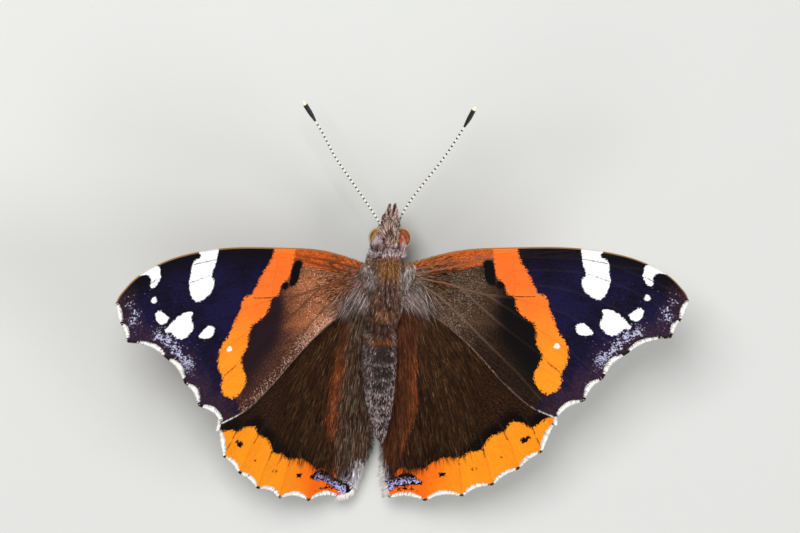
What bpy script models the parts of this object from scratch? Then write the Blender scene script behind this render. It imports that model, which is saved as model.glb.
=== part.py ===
# A red admiral butterfly at rest with its four wings spread, life size.
# It is modelled in millimetres round its thorax, with the head towards +Y, and
# at the end moved so that its feet stand on z = 0 and scaled to metres.

import math

import bmesh
import bpy
import numpy as np
from mathutils import Matrix, Vector
from mathutils.geometry import delaunay_2d_cdt

# Driving dimensions, in millimetres
standHeight = 7.0  # wing roots above the floor
gap = 0.3  # between neighbouring pieces
membrane = 0.53  # wing thickness, measured upright
wingRoot = 2.0  # distance of the wing hinges from the middle
wingRise = 0.31  # rise of a wing for each millimetre outwards
wingPitch = -0.05  # rise of a wing for each millimetre forwards
layerStep = 1.12  # how far the hindwing lies under the forewing
foldWidth = 2.5  # run over which the hindwing bends down
hindFold = {"right": 0.17, "left": 0.22}  # extra fall of a hindwing behind its fold
headShift = 0.2  # the head is turned a little aside
abdomenBend = 1.05  # sideways bend of the abdomen's tip
legSides = 8
sideSign = {"right": 1, "left": -1}

# Forewing: its leading edge, vein ends round the margin, and inner edge
foreCosta = [(1.2, 2.5), (3.4, 3.6), (8.1, 5.25), (14.0, 6.05), (20.5, 6.5), (26.2, 5.95),
             (30.3, 4.4), (32.4, 2.6), (33.1, 1.5)]
foreMargin = [(33.1, 1.5), (32.4, -0.9), (31.5, -3.05), (26.8, -5.3), (24.45, -8.35),
              (22.6, -11.15), (19.6, -13.4)]
foreScallops = [-0.12, 0.05, 0.45, 0.25, 0.25, 0.25]
foreInner = [(19.6, -13.4), (16.6, -12.2), (13.5, -9.6), (10.7, -6.7), (7.9, -4.2), (5.2, -2.3),
             (3.2, -1.2), (1.2, -0.6)]

# Hindwing: its hidden leading edge, vein ends round the margin, and inner edge
hindCosta = [(1.0, 1.3), (5.0, 0.3), (9.5, -1.4), (14.0, -4.6), (17.6, -8.8), (19.4, -12.2),
             (19.7, -14.4)]
hindMargin = [(19.7, -14.4), (18.75, -18.0), (16.55, -20.35), (13.95, -22.7), (10.85, -24.45),
              (6.9, -25.5), (3.0, -25.6)]
hindScallops = [-0.1, 0.12, 0.15, 0.3, 0.4, 0.3]
hindInner = {
    "right": [(3.0, -25.6), (2.3, -22.7), (1.9, -19.6), (1.7, -14.0), (1.5, -8.0), (1.0, -3.2)],
    "left": [(3.0, -25.6), (1.0, -25.3), (0.0, -22.2), (-0.9, -19.3), (0.3, -14.0), (1.2, -8.0),
             (1.0, -3.2)],
}

# Main veins as routes from the root to the margin
foreVeins = {
    "subcosta": [(3.6, 2.85), (8.4, 4.3), (12.2, 5.15), (16.6, 6.15)],
    "radius": [(3.7, 2.3), (7.0, 3.2), (11.2, 4.5), (14.0, 4.95), (21.4, 5.3), (24.6, 4.8),
               (29.4, 3.2), (32.9, 1.7)],
    "radiusOne": [(13.0, 4.8), (16.5, 5.6), (20.4, 6.3)],
    "radiusTwo": [(17.0, 5.1), (21.0, 5.85), (25.0, 6.0)],
    "radiusThree": [(24.6, 4.8), (27.6, 4.65), (30.2, 4.3)],
    "mediaOne": [(13.9, 3.4), (18.5, 3.75), (22.4, 3.55), (27.5, 1.8), (32.3, -0.9)],
    "mediaTwo": [(14.2, 1.9), (20.0, 1.6), (26.3, -0.5), (31.4, -3.0)],
    "cellLower": [(3.8, 1.7), (7.1, 1.25), (10.9, 0.4), (14.1, 0.2), (20.3, -1.4), (26.7, -5.3)],
    "cellEnd": [(13.8, 4.9), (13.9, 3.4), (14.2, 1.9), (14.1, 0.2)],
    "cubitusOne": [(11.2, 0.35), (15.8, -2.4), (20.4, -5.4), (24.4, -8.35)],
    "cubitusTwo": [(8.2, 0.95), (13.0, -3.0), (18.6, -7.1), (22.5, -11.1)],
    "anal": [(4.0, 1.1), (7.1, -1.1), (11.5, -5.2), (15.6, -9.0), (19.5, -13.3)],
}
hindVeins = {
    "subcosta": [(3.3, -0.3), (8.2, -2.0), (13.2, -5.3), (18.7, -10.8)],
    "radial": [(3.4, -1.1), (7.2, -3.7), (12.4, -7.4), (19.6, -14.3)],
    "mediaOne": [(8.9, -4.9), (12.8, -9.0), (17.0, -14.6), (18.7, -17.95)],
    "mediaTwo": [(9.2, -6.6), (12.2, -12.3), (15.0, -16.7), (16.5, -20.3)],
    "cubitus": [(3.3, -1.9), (5.6, -6.2), (8.6, -9.9), (11.0, -14.4), (12.7, -18.6),
                (13.9, -22.6)],
    "cubitusOne": [(7.6, -9.0), (9.2, -14.6), (10.0, -19.6), (10.8, -24.3)],
    "cubitusTwo": [(5.3, -5.8), (6.4, -11.5), (6.6, -20.5), (6.9, -25.4)],
    "anal": [(2.9, -2.9), (4.0, -8.0), (4.7, -15.0), (3.9, -21.0), (3.1, -25.5)],
}
veinRise = {"root": 0.13, "tip": 0.08}
veinHalfWidth = {"root": 0.3, "tip": 0.2}
veinStep = 1.9
marginStep = 1.15
costaStep = 2.2
innerGrid = 2.3
gridClearance = 0.85

# Cross sections of the body: y, half width, height above and depth below the axis
thoraxAxis = -0.9
thoraxSections = [(-4.6, 1.55, 1.5, 1.6), (-4.0, 2.0, 1.9, 2.15), (-2.8, 2.45, 2.2, 2.75),
                  (-1.0, 2.8, 2.5, 3.05), (1.2, 2.85, 2.6, 3.0), (2.8, 2.55, 2.3, 2.7),
                  (3.9, 2.3, 1.95, 2.3), (4.6, 2.15, 1.75, 2.0), (5.05, 1.85, 1.5, 1.65)]
abdomenSections = [(-4.9, 1.5, 1.45, 1.5), (-5.8, 1.95, 1.8, 1.85), (-7.65, 2.12, 1.95, 2.0),
                   (-10.0, 2.05, 1.9, 1.95), (-12.5, 1.8, 1.65, 1.7), (-15.0, 1.35, 1.25, 1.25),
                   (-16.8, 0.95, 0.85, 0.85), (-17.8, 0.6, 0.5, 0.5), (-18.2, 0.32, 0.25, 0.25)]
abdomenRings = 8
headSections = [(5.35, 1.45, 1.3, 1.4), (6.2, 1.7, 1.6, 1.7), (7.0, 1.6, 1.5, 1.75),
                (7.6, 1.3, 1.2, 1.55), (8.05, 0.95, 0.85, 1.2), (8.3, 0.5, 0.45, 0.7)]
headAxis = -0.45
eye = {"place": (1.45, 6.2, -0.4), "radii": (1.0, 1.15, 1.3)}
tegula = {"place": (2.45, 2.0, 0.55), "radii": (0.8, 1.6, 0.75)}
collar = {"place": (0.72, 4.1, 0.45), "radii": (0.85, 0.5, 0.6)}
scutellum = {"place": (0.0, -2.7, 0.95), "radii": (1.3, 0.95, 0.65)}
coxa = {"places": [(0.85, 3.2, -3.0), (1.05, 0.8, -3.7), (1.05, -2.0, -3.6)],
        "radii": (0.55, 0.75, 0.85)}

# Legs as hip, knee, heel and toe, with heights measured from the floor
midLeg = [(1.15, 0.8, 2.9), (5.2, 1.6, 4.0), (8.0, 1.9, 0.55), (10.3, 2.3, 0.2)]
hindLeg = [(1.15, -2.0, 2.9), (4.6, -5.2, 3.6), (6.3, -9.0, 0.55), (7.3, -11.7, 0.2)]
foreLeg = [(0.9, 3.2, 3.9), (0.75, 5.1, 3.3), (0.7, 4.0, 2.5), (0.7, 3.3, 2.35)]
femurRadius = 0.4
tibiaRadius = 0.3
tarsusRadius = 0.25
kneeBend = 0.55

antennaRoutes = {
    "right": [(0.6, 7.2, 0.4), (1.1, 9.7, 1.25), (2.45, 12.6, 2.3), (4.15, 15.7, 3.45),
              (5.3, 18.1, 4.3), (6.35, 20.7, 5.25), (7.1, 22.95, 6.05)],
    "left": [(-0.7, 7.2, 0.4), (-2.65, 9.9, 0.7), (-5.05, 13.0, 1.0), (-7.35, 16.0, 1.3),
             (-9.25, 19.05, 1.65), (-11.65, 22.45, 2.0)],
}
antennaRadius = 0.25
clubRadius = 0.4
clubShare = 0.16  # share of the length that the club takes
palpRoute = [(0.7, 7.3, -1.9), (0.62, 8.3, -1.3), (0.53, 9.1, -0.7), (0.33, 10.0, -0.5)]
palpRadii = [0.42, 0.46, 0.37, 0.15]
coil = {"place": (7.35, -3.2), "outer": 0.8, "inner": 0.28, "turns": 1.05, "radius": 0.22}

colours = {
    "thorax": (0.10, 0.075, 0.055), "abdomen": (0.16, 0.13, 0.10), "head": (0.12, 0.09, 0.06),
    "eye": (0.16, 0.07, 0.03), "antenna": (0.03, 0.025, 0.025), "palp": (0.16, 0.13, 0.11),
    "proboscis": (0.05, 0.03, 0.02), "forewing": (0.09, 0.06, 0.045),
    "hindwing": (0.11, 0.075, 0.05), "leg": (0.14, 0.10, 0.07),
}


def clearScene():
    for item in list(bpy.data.objects):
        bpy.data.objects.remove(item, do_unlink=True)


def material(name):
    paint = bpy.data.materials.get(name)
    if paint is None:
        paint = bpy.data.materials.new(name)
        paint.use_nodes = True
        shader = paint.node_tree.nodes["Principled BSDF"]
        shader.inputs["Base Color"].default_value = (*colours[name], 1.0)
        shader.inputs["Roughness"].default_value = 0.2 if name == "eye" else 0.8
        shader.inputs["Metallic"].default_value = 0.0
    return paint


def addObject(name, mesh):
    thing = bpy.data.objects.new(name, mesh)
    bpy.context.scene.collection.objects.link(thing)
    return thing


def closedObject(name, points, faces):
    mesh = bpy.data.meshes.new(name)
    shape = bmesh.new()
    corners = [shape.verts.new(point) for point in points]
    for face in faces:
        shape.faces.new([corners[index] for index in face])
    bmesh.ops.recalc_face_normals(shape, faces=shape.faces)
    shape.to_mesh(mesh)
    shape.free()
    return addObject(name, mesh)


# A smooth curve through the given points, read at even steps along it
def smoothCurve(points, step):
    route = np.array(points, dtype=float)
    ends = np.vstack([2 * route[0] - route[1], route, 2 * route[-1] - route[-2]])
    dense = []
    for before, start, stop, after in zip(ends, ends[1:], ends[2:], ends[3:]):
        for t in np.linspace(0, 1, 24, endpoint=False):
            bend = 2 * before - 5 * start + 4 * stop - after
            twist = -before + 3 * start - 3 * stop + after
            dense.append(start + 0.5 * t * ((stop - before) + t * (bend + t * twist)))
    dense.append(route[-1])
    dense = np.array(dense)
    lengths = np.concatenate([[0], np.cumsum(np.linalg.norm(np.diff(dense, axis=0), axis=1))])
    count = max(2, int(round(lengths[-1] / step)) + 1)
    marks = np.linspace(0, lengths[-1], count)
    return np.stack([np.interp(marks, lengths, axis) for axis in dense.T], axis=1)


# A tube of changing radius along a route, closed at both ends
def tube(name, route, radii, sides):
    points = []
    across = Vector((0.0, 0.0, 1.0))
    route = [Vector(point) for point in route]
    last = len(route) - 1
    for index, centre in enumerate(route):
        along = (route[min(index + 1, last)] - route[max(index - 1, 0)]).normalized()
        if abs(along.dot(across)) > 0.98:
            across = Vector((1.0, 0.0, 0.0))
        across = (across - along * across.dot(along)).normalized()
        other = along.cross(across)
        for side in range(sides):
            turn = 2 * math.pi * (side + 0.5) / sides
            reach = math.cos(turn) * across + math.sin(turn) * other
            points.append(centre + float(radii[index]) * reach)
    faces = ringFaces(len(route), sides)
    return closedObject(name, points, faces)


def ringFaces(rings, sides):
    faces = [list(range(sides)), [(rings - 1) * sides + side for side in range(sides)]]
    for ring in range(rings - 1):
        for side in range(sides):
            near = ring * sides
            beside = (side + 1) % sides
            faces.append([near + side, near + beside, near + sides + beside, near + sides + side])
    return faces


# A body along Y from its cross sections, each one an ellipse with a flatter belly
def body(name, sections, axis, sides, grow=0.0, centre=None):
    points = []
    for y, halfWidth, above, below in sections:
        middle = centre(y) if centre else 0.0
        for side in range(sides):
            turn = 2 * math.pi * (side + 0.5) / sides
            height = (above if math.sin(turn) > 0 else below) + grow
            points.append((middle + (halfWidth + grow) * math.cos(turn), y,
                           axis + height * math.sin(turn)))
    return closedObject(name, points, ringFaces(len(sections), sides))


def readSections(sections, y):
    table = np.array(sorted(sections))
    return [float(np.interp(y, table[:, 0], column)) for column in table[:, 1:].T]


def fineSections(sections, step):
    route = smoothCurve(sections, step)
    return [tuple(row) for row in route]


def ellipsoid(name, place, radii, grow=0.0, tilt=0.0, detail=(12, 8)):
    mesh = bpy.data.meshes.new(name)
    shape = bmesh.new()
    size = Matrix.Diagonal((*[radius + grow for radius in radii], 1.0))
    turn = Matrix.Rotation(tilt, 4, "Z")
    bmesh.ops.create_uvsphere(shape, u_segments=detail[0], v_segments=detail[1], radius=1.0,
                              matrix=Matrix.Translation(place) @ turn @ size)
    shape.to_mesh(mesh)
    shape.free()
    return addObject(name, mesh)


def applyModifiers(thing):
    graph = bpy.context.evaluated_depsgraph_get()
    mesh = bpy.data.meshes.new_from_object(thing.evaluated_get(graph))
    thing.modifiers.clear()
    old = thing.data
    thing.data = mesh
    bpy.data.meshes.remove(old)


# Fuses closed pieces into the first of them
def fuse(pieces):
    whole = pieces[0]
    if len(pieces) > 1:
        group = bpy.data.collections.new("pieces")
        bpy.context.scene.collection.children.link(group)
        for piece in pieces[1:]:
            group.objects.link(piece)
        union = whole.modifiers.new("union", "BOOLEAN")
        union.operation = "UNION"
        union.operand_type = "COLLECTION"
        union.collection = group
        union.solver = "EXACT"
        applyModifiers(whole)
        for piece in pieces[1:]:
            bpy.data.objects.remove(piece, do_unlink=True)
        bpy.data.collections.remove(group)
    return whole


def cut(thing, cutter):
    cutter.hide_render = True
    cutter.display_type = "WIRE"
    difference = thing.modifiers.new("cut", "BOOLEAN")
    difference.operation = "DIFFERENCE"
    difference.object = cutter
    difference.solver = "EXACT"
    applyModifiers(thing)
    return thing


def keepLargest(thing):
    shape = bmesh.new()
    shape.from_mesh(thing.data)
    unseen = set(shape.verts)
    parts = []
    while unseen:
        stack = [unseen.pop()]
        part = set(stack)
        while stack:
            for edge in stack.pop().link_edges:
                for corner in edge.verts:
                    if corner not in part:
                        part.add(corner)
                        stack.append(corner)
        unseen -= part
        parts.append(part)
    parts.sort(key=spread, reverse=True)
    for part in parts[1:]:
        bmesh.ops.delete(shape, geom=list(part), context="VERTS")
    shape.to_mesh(thing.data)
    shape.free()


def spread(part):
    low = Vector([min(corner.co[axis] for corner in part) for axis in range(3)])
    high = Vector([max(corner.co[axis] for corner in part) for axis in range(3)])
    return (high - low).length


def removeThing(thing):
    bpy.data.objects.remove(thing, do_unlink=True)


# Height of the middle of a wing's membrane over the wing roots
def wingHeight(out, forward, hind, fold):
    height = wingRise * (out - wingRoot) + wingPitch * forward
    if not hind:
        return height
    behind = -0.577 * (out - 3.0) - 0.817 * (forward + 2.0)
    bent = 0.5 * (behind + math.sqrt(behind * behind + foldWidth * foldWidth))
    flat = 0.5 * foldWidth
    return height - layerStep - fold * (bent - flat * math.exp(-abs(behind) / foldWidth))


def scallopedMargin(ends, depths):
    points = []
    for start, stop, depth in zip(ends, ends[1:], depths):
        start = np.array(start)
        stop = np.array(stop)
        chord = stop - start
        length = np.linalg.norm(chord)
        inwards = np.array([chord[1], -chord[0]]) / length
        count = max(2, int(round(length / marginStep)))
        for t in np.arange(count) / count:
            points.append(start + t * chord + inwards * depth * math.sin(math.pi * t))
    return points


def wingOutline(costa, margin, scallops, inner):
    points = list(smoothCurve(costa, costaStep))[:-1]
    points += scallopedMargin(margin, scallops)
    points += list(smoothCurve(inner, costaStep))
    return np.array(points)


def distanceToRoute(point, route):
    start = route[:-1]
    step = route[1:] - start
    share = np.sum((point - start) * step, axis=1) / np.sum(step * step, axis=1)
    share = np.clip(share, 0.0, 1.0)
    apart = np.linalg.norm(start + share[:, None] * step - point, axis=1)
    nearest = int(np.argmin(apart))
    return apart[nearest], (nearest + share[nearest]) / len(step)


def veinRaise(point, routes):
    raised = 0.0
    for route in routes:
        apart, along = distanceToRoute(point, route)
        width = veinHalfWidth["root"] * (1 - along) + veinHalfWidth["tip"] * along
        rise = veinRise["root"] * (1 - along) + veinRise["tip"] * along
        raised = max(raised, rise * (1 - apart / width))
    return raised


def sideRoute(route, direction):
    along = np.gradient(route, axis=0)
    along /= np.linalg.norm(along, axis=1)[:, None]
    share = np.linspace(0, 1, len(route))[:, None]
    width = veinHalfWidth["root"] * (1 - share) + veinHalfWidth["tip"] * share
    across = np.stack([-along[:, 1], along[:, 0]], axis=1)
    return route + direction * width * across


def insideOutline(point, outline):
    inside = False
    for (x1, y1), (x2, y2) in zip(outline, np.roll(outline, -1, axis=0)):
        if (y1 > point[1]) != (y2 > point[1]):
            if point[0] < x1 + (point[1] - y1) * (x2 - x1) / (y2 - y1):
                inside = not inside
    return inside


# Spare points between the veins, so that the membrane has no long thin triangles
def spreadPoints(outline, routes):
    edges = [np.vstack([outline, outline[:1]])] + routes
    low = outline.min(axis=0)
    high = outline.max(axis=0)
    points = []
    for row, y in enumerate(np.arange(low[1], high[1], innerGrid * 0.87)):
        for x in np.arange(low[0] + innerGrid * 0.5 * (row % 2), high[0], innerGrid):
            point = np.array([x, y])
            if not insideOutline(point, outline):
                continue
            if min(distanceToRoute(point, edge)[0] for edge in edges) > gridClearance:
                points.append(point)
    return points


# Plan of a wing in triangles that follow its outline and its veins
def wingPlan(outline, veins):
    routes = [smoothCurve(points, veinStep) for points in veins.values()]
    points = [Vector(point) for point in outline]
    edges = [(index, (index + 1) % len(outline)) for index in range(len(outline))]
    for route in routes:
        for line in (route, sideRoute(route, 1)[:-1], sideRoute(route, -1)[:-1]):
            kept = [point for point in line if insideOutline(point, outline)]
            first = len(points)
            points += [Vector(point) for point in kept]
            edges += [(first + index, first + index + 1) for index in range(len(kept) - 1)]
    points += [Vector(point) for point in spreadPoints(outline, routes)]
    corners, _, faces, _, _, _ = delaunay_2d_cdt(points, edges, [], 1, 0.06)
    return np.array([tuple(corner) for corner in corners]), faces, routes


def wingSolid(name, side, outline, veins, hind):
    corners, triangles, routes = wingPlan(outline, veins)
    leading = smoothCurve(hindCosta if hind else foreCosta, costaStep)
    sign = sideSign[side]
    top = []
    bottom = []
    for corner in corners:
        middle = wingHeight(corner[0], corner[1], hind, hindFold[side])
        raised = veinRaise(corner, routes + [leading])
        top.append((sign * corner[0], corner[1], middle + membrane / 2 + raised))
        bottom.append((sign * corner[0], corner[1], middle - membrane / 2 - raised))
    under = len(corners)
    used = {}
    faces = []
    for face in triangles:
        faces.append(list(face))
        faces.append([under + index for index in reversed(face)])
        for start, stop in zip(face, face[1:] + face[:1]):
            key = (min(start, stop), max(start, stop))
            used[key] = used.get(key, 0) + 1
    for (start, stop), count in used.items():
        if count == 1:
            faces.append([start, stop, under + stop, under + start])
    return closedObject(name, top + bottom, faces)


def bothSides(place, sign):
    return (sign * place[0], place[1], place[2])


def thoraxPieces(grow=0.0):
    pieces = [body("thorax", fineSections(thoraxSections, 0.85), thoraxAxis, 18, grow)]
    for sign in (1, -1):
        pieces.append(ellipsoid("tegula", bothSides(tegula["place"], sign), tegula["radii"], grow,
                                tilt=-0.25 * sign))
        pieces.append(ellipsoid("collar", bothSides(collar["place"], sign), collar["radii"], grow,
                                tilt=-0.35 * sign))
        for place in coxa["places"]:
            pieces.append(ellipsoid("coxa", bothSides(place, sign), coxa["radii"], grow,
                                    detail=(10, 6)))
    pieces.append(ellipsoid("scutellum", scutellum["place"], scutellum["radii"], grow))
    return pieces


def abdomenMiddle(y):
    start = abdomenSections[0][0]
    length = start - abdomenSections[-1][0]
    return abdomenBend * max(0.0, (start - y) / length) ** 1.5


# Each segment of the abdomen widens to its hind edge and laps over the next one
def ringedSections():
    start = abdomenSections[0][0]
    stop = abdomenSections[-1][0]
    rows = []
    for ring in range(abdomenRings):
        for part, swell in ((0.0, 0.96), (0.2, 0.99), (0.65, 1.01), (0.93, 1.03)):
            share = (ring + part) / abdomenRings
            y = start + (stop - start) * (1 - (1 - share) ** 1.12)
            rows.append((y, *[swell * size for size in readSections(abdomenSections, y)]))
    rows.append((stop, *abdomenSections[-1][1:]))
    return rows


def makeAbdomen(grow=0.0):
    return body("abdomen", ringedSections(), thoraxAxis, 18, grow, abdomenMiddle)


def headCore(grow=0.0):
    return body("head", fineSections(headSections, 0.42), headAxis, 18, grow,
                lambda y: headShift)


def makeEye(side, grow=0.0):
    x, y, z = eye["place"]
    place = (headShift + sideSign[side] * x, y, z)
    return ellipsoid("eye_" + side, place, eye["radii"], grow, detail=(16, 12))


def antennaProfile(count):
    radii = []
    for share in np.linspace(0, 1, count):
        club = max(0.0, (share - 1 + clubShare) / clubShare)
        swell = math.sin(math.pi * min(club, 0.62) / 1.24) if club > 0 else 0.0
        radius = antennaRadius + (clubRadius - antennaRadius) * swell
        radii.append(radius if share < 0.995 else 0.6 * radius)
    return radii


def makeAntenna(side):
    shaft = smoothCurve(antennaRoutes[side], 1.5)
    tip = shaft[-2] + (shaft[-1] - shaft[-2]) * np.array([[0.3], [0.6], [0.85]])
    route = np.vstack([shaft[:-1], tip, shaft[-1:]])
    lengths = np.concatenate([[0], np.cumsum(np.linalg.norm(np.diff(route, axis=0), axis=1))])
    fine = antennaProfile(200)
    radii = np.interp(lengths / lengths[-1], np.linspace(0, 1, 200), fine)
    return tube("antenna_" + side, route, radii, legSides)


def makePalp(side):
    sign = sideSign[side]
    route = smoothCurve([bothSides(point, sign) for point in palpRoute], 0.35)
    route[:, 0] += headShift
    radii = np.interp(np.linspace(0, 3, len(route)), range(4), palpRadii)
    return tube("palp_" + side, route, radii, 10)


# The round space that the coiled proboscis takes up
def coilSpace():
    y, z = coil["place"]
    mesh = bpy.data.meshes.new("coilSpace")
    shape = bmesh.new()
    radius = coil["outer"] + coil["radius"] + gap
    place = Matrix.Translation((headShift, y, z)) @ Matrix.Rotation(math.pi / 2, 4, "Y")
    bmesh.ops.create_cone(shape, cap_ends=True, segments=24, radius1=radius, radius2=radius,
                          depth=2 * (coil["radius"] + gap), matrix=place)
    shape.to_mesh(mesh)
    shape.free()
    return addObject("coilSpace", mesh)


def makeProboscis():
    y, z = coil["place"]
    route = [(headShift, y + coil["outer"] * 0.2, z + coil["outer"] + 1.0)]
    steps = 20
    for index in range(steps + 1):
        share = index / steps
        turn = math.pi / 2 - 2 * math.pi * coil["turns"] * share
        radius = coil["outer"] + (coil["inner"] - coil["outer"]) * share
        route.append((headShift, y + radius * math.cos(turn), z + radius * math.sin(turn)))
    radii = [coil["radius"]] * len(route)
    return tube("proboscis", route, radii, legSides)


# A leg's route with its knee and heel rounded
def legRoute(joints):
    joints = [Vector(joint) for joint in joints]
    route = [(joints[0], femurRadius * 0.8)]
    sizes = [(femurRadius, femurRadius * 0.75), (tibiaRadius, tibiaRadius),
             (tarsusRadius, tarsusRadius)]
    for index, (start, stop) in enumerate(zip(joints, joints[1:])):
        wide, narrow = sizes[index]
        way = (stop - start).normalized()
        length = (stop - start).length
        near = start + way * (kneeBend if index else 0.1)
        far = stop - way * (kneeBend if index < 2 else 0.0)
        if index:
            route.append((near, wide * 0.9))
        route.append((start + way * length * 0.45, wide))
        route.append((far, narrow))
        if index < 2:
            after = stop + (joints[index + 2] - stop).normalized() * kneeBend
            route.append((0.25 * far + 0.5 * stop + 0.25 * after, narrow * 0.95))
    return route


def makeLeg(name, side, joints):
    sign = sideSign[side]
    placed = [(sign * x, y, z - standHeight) for x, y, z in joints]
    route = legRoute(placed)
    leg = tube(name + "_" + side, [point for point, _ in route],
               [radius for _, radius in route], legSides)
    for corner in leg.data.vertices:
        corner.co.z = max(corner.co.z, -standHeight)
    return leg


def finish(thing, paint):
    keepLargest(thing)
    shape = bmesh.new()
    shape.from_mesh(thing.data)
    bmesh.ops.dissolve_degenerate(shape, edges=shape.edges, dist=0.002)
    bmesh.ops.triangulate(shape, faces=shape.faces)
    bmesh.ops.recalc_face_normals(shape, faces=shape.faces)
    shape.to_mesh(thing.data)
    shape.free()
    thing.data.materials.clear()
    thing.data.materials.append(material(paint))
    thing.data.shade_smooth()
    thing.data.set_sharp_from_angle(angle=math.radians(40))
    return thing


# Hollows the eyes' sockets out of the head, or out of the collar behind it
def cutSockets(thing):
    for side in sideSign:
        socket = makeEye(side, gap)
        cut(thing, socket)
        removeThing(socket)
    return thing


def makeBody():
    nodes = [finish(cutSockets(fuse(thoraxPieces())), "thorax"),
             finish(makeAbdomen(), "abdomen"), finish(cutSockets(headCore()), "head")]
    for side in sideSign:
        nodes.append(finish(makeEye(side), "eye"))
    return nodes


def makeHeadParts():
    grownHead = headCore(gap)
    grownCoil = coilSpace()
    nodes = [finish(cut(makeProboscis(), grownHead), "proboscis")]
    for side in sideSign:
        grownEye = makeEye(side, gap)
        palp = cut(makePalp(side), grownHead)
        nodes.append(finish(cut(palp, grownCoil), "palp"))
        feeler = cut(makeAntenna(side), grownHead)
        nodes.append(finish(cut(feeler, grownEye), "antenna"))
        removeThing(grownEye)
    removeThing(grownHead)
    removeThing(grownCoil)
    return nodes


def makeLegs(grownThorax):
    nodes = []
    for side in sideSign:
        for name, joints in (("foreleg", foreLeg), ("midleg", midLeg), ("hindleg", hindLeg)):
            nodes.append(finish(cut(makeLeg(name, side, joints), grownThorax), "leg"))
    return nodes


def makeWings(grownThorax):
    grownAbdomen = makeAbdomen(gap)
    nodes = []
    foreOutline = wingOutline(foreCosta, foreMargin, foreScallops, foreInner)
    for side in sideSign:
        fore = wingSolid("forewing_" + side, side, foreOutline, foreVeins, False)
        nodes.append(finish(cut(fore, grownThorax), "forewing"))
        hindOutline = wingOutline(hindCosta, hindMargin, hindScallops, hindInner[side])
        hind = wingSolid("hindwing_" + side, side, hindOutline, hindVeins, True)
        cut(hind, grownThorax)
        nodes.append(finish(cut(hind, grownAbdomen), "hindwing"))
    removeThing(grownAbdomen)
    return nodes


# Centres the butterfly over the origin, stands it on z = 0 and scales it to metres
def placeAll(nodes):
    corners = np.array([tuple(corner.co) for node in nodes for corner in node.data.vertices])
    low = corners.min(axis=0)
    high = corners.max(axis=0)
    shift = Vector((-(low[0] + high[0]) / 2, -(low[1] + high[1]) / 2, standHeight))
    toMetres = Matrix.Scale(0.001, 4) @ Matrix.Translation(shift)
    for node in nodes:
        node.data.transform(toMetres)
        node.data.update()


def main():
    clearScene()
    nodes = makeBody() + makeHeadParts()
    grownThorax = fuse(thoraxPieces(gap))
    nodes += makeLegs(grownThorax) + makeWings(grownThorax)
    removeThing(grownThorax)
    placeAll(nodes)
    print("triangles", {node.name: len(node.data.polygons) for node in nodes},
          sum(len(node.data.polygons) for node in nodes))


main()
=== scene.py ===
import math

import bpy
import numpy as np
from mathutils import Matrix, Vector
from mathutils.geometry import delaunay_2d_cdt
from mathutils.kdtree import KDTree


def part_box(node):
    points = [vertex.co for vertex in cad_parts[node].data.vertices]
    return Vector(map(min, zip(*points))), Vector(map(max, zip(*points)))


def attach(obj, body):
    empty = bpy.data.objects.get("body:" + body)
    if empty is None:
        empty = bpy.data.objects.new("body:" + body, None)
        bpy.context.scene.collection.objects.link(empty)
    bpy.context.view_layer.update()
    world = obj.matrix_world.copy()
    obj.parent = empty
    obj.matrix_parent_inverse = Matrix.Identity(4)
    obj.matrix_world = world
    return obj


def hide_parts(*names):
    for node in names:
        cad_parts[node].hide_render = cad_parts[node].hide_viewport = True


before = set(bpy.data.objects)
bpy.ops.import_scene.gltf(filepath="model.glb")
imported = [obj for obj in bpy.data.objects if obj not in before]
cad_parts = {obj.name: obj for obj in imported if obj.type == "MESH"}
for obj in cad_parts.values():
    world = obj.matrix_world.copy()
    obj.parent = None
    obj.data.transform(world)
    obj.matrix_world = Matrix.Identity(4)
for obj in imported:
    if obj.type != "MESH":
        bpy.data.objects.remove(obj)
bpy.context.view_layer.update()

mm = 0.001
draws = np.random.default_rng(7)
sideSign = {"Right": 1, "Left": -1}

# Everything is drawn in millimetres round the thorax, then put where the frame's right eye is
drawnEye = np.array([1.65, 6.2, -0.4])
eyeLow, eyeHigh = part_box("eye_right")
origin = np.array((eyeLow + eyeHigh) / 2) / mm - drawnEye


def toFrame(points):
    return (np.asarray(points, dtype=float) + origin) * mm


# Shader maths: a value wraps a socket, and an expression on values adds its Math nodes
class Value:
    def __init__(self, tree, socket):
        self.tree = tree
        self.socket = socket

    def node(self, kind, settings=None, inputs=None, output=0):
        made = self.tree.nodes.new(kind)
        for name, setting in (settings or {}).items():
            if name == "stops":
                setStops(made.color_ramp, setting)
            else:
                setattr(made, name, setting)
        for key, given in (inputs or {}).items():
            if isinstance(given, Value):
                self.tree.links.new(given.socket, made.inputs[key])
            else:
                made.inputs[key].default_value = given
        return Value(self.tree, made.outputs[output])

    def maths(self, operation, *others):
        inputs = {0: self}
        for place, other in enumerate(others):
            inputs[place + 1] = other
        return self.node("ShaderNodeMath", {"operation": operation}, inputs)

    def __add__(self, other):
        return self.maths("ADD", other)

    def __radd__(self, other):
        return self.maths("ADD", other)

    def __sub__(self, other):
        return self.maths("SUBTRACT", other)

    def __rsub__(self, other):
        return (self * -1.0).maths("ADD", other)

    def __mul__(self, other):
        return self.maths("MULTIPLY", other)

    def __rmul__(self, other):
        return self.maths("MULTIPLY", other)

    def atMost(self, other):
        return self.maths("MINIMUM", other)

    def ramp(self, low, high):
        limits = {"Value": self, "From Min": low, "From Max": high}
        return self.node("ShaderNodeMapRange", {"interpolation_type": "SMOOTHSTEP"}, limits)

    def blend(self, first, second):
        colours = {0: self, 6: first, 7: second}
        return self.node("ShaderNodeMix", {"data_type": "RGBA"}, colours, 2)


def setStops(ramp, stops):
    while len(ramp.elements) < len(stops):
        ramp.elements.new(0.5)
    for element, (place, colour) in zip(ramp.elements, stops):
        element.position = place
        element.color = colour


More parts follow.
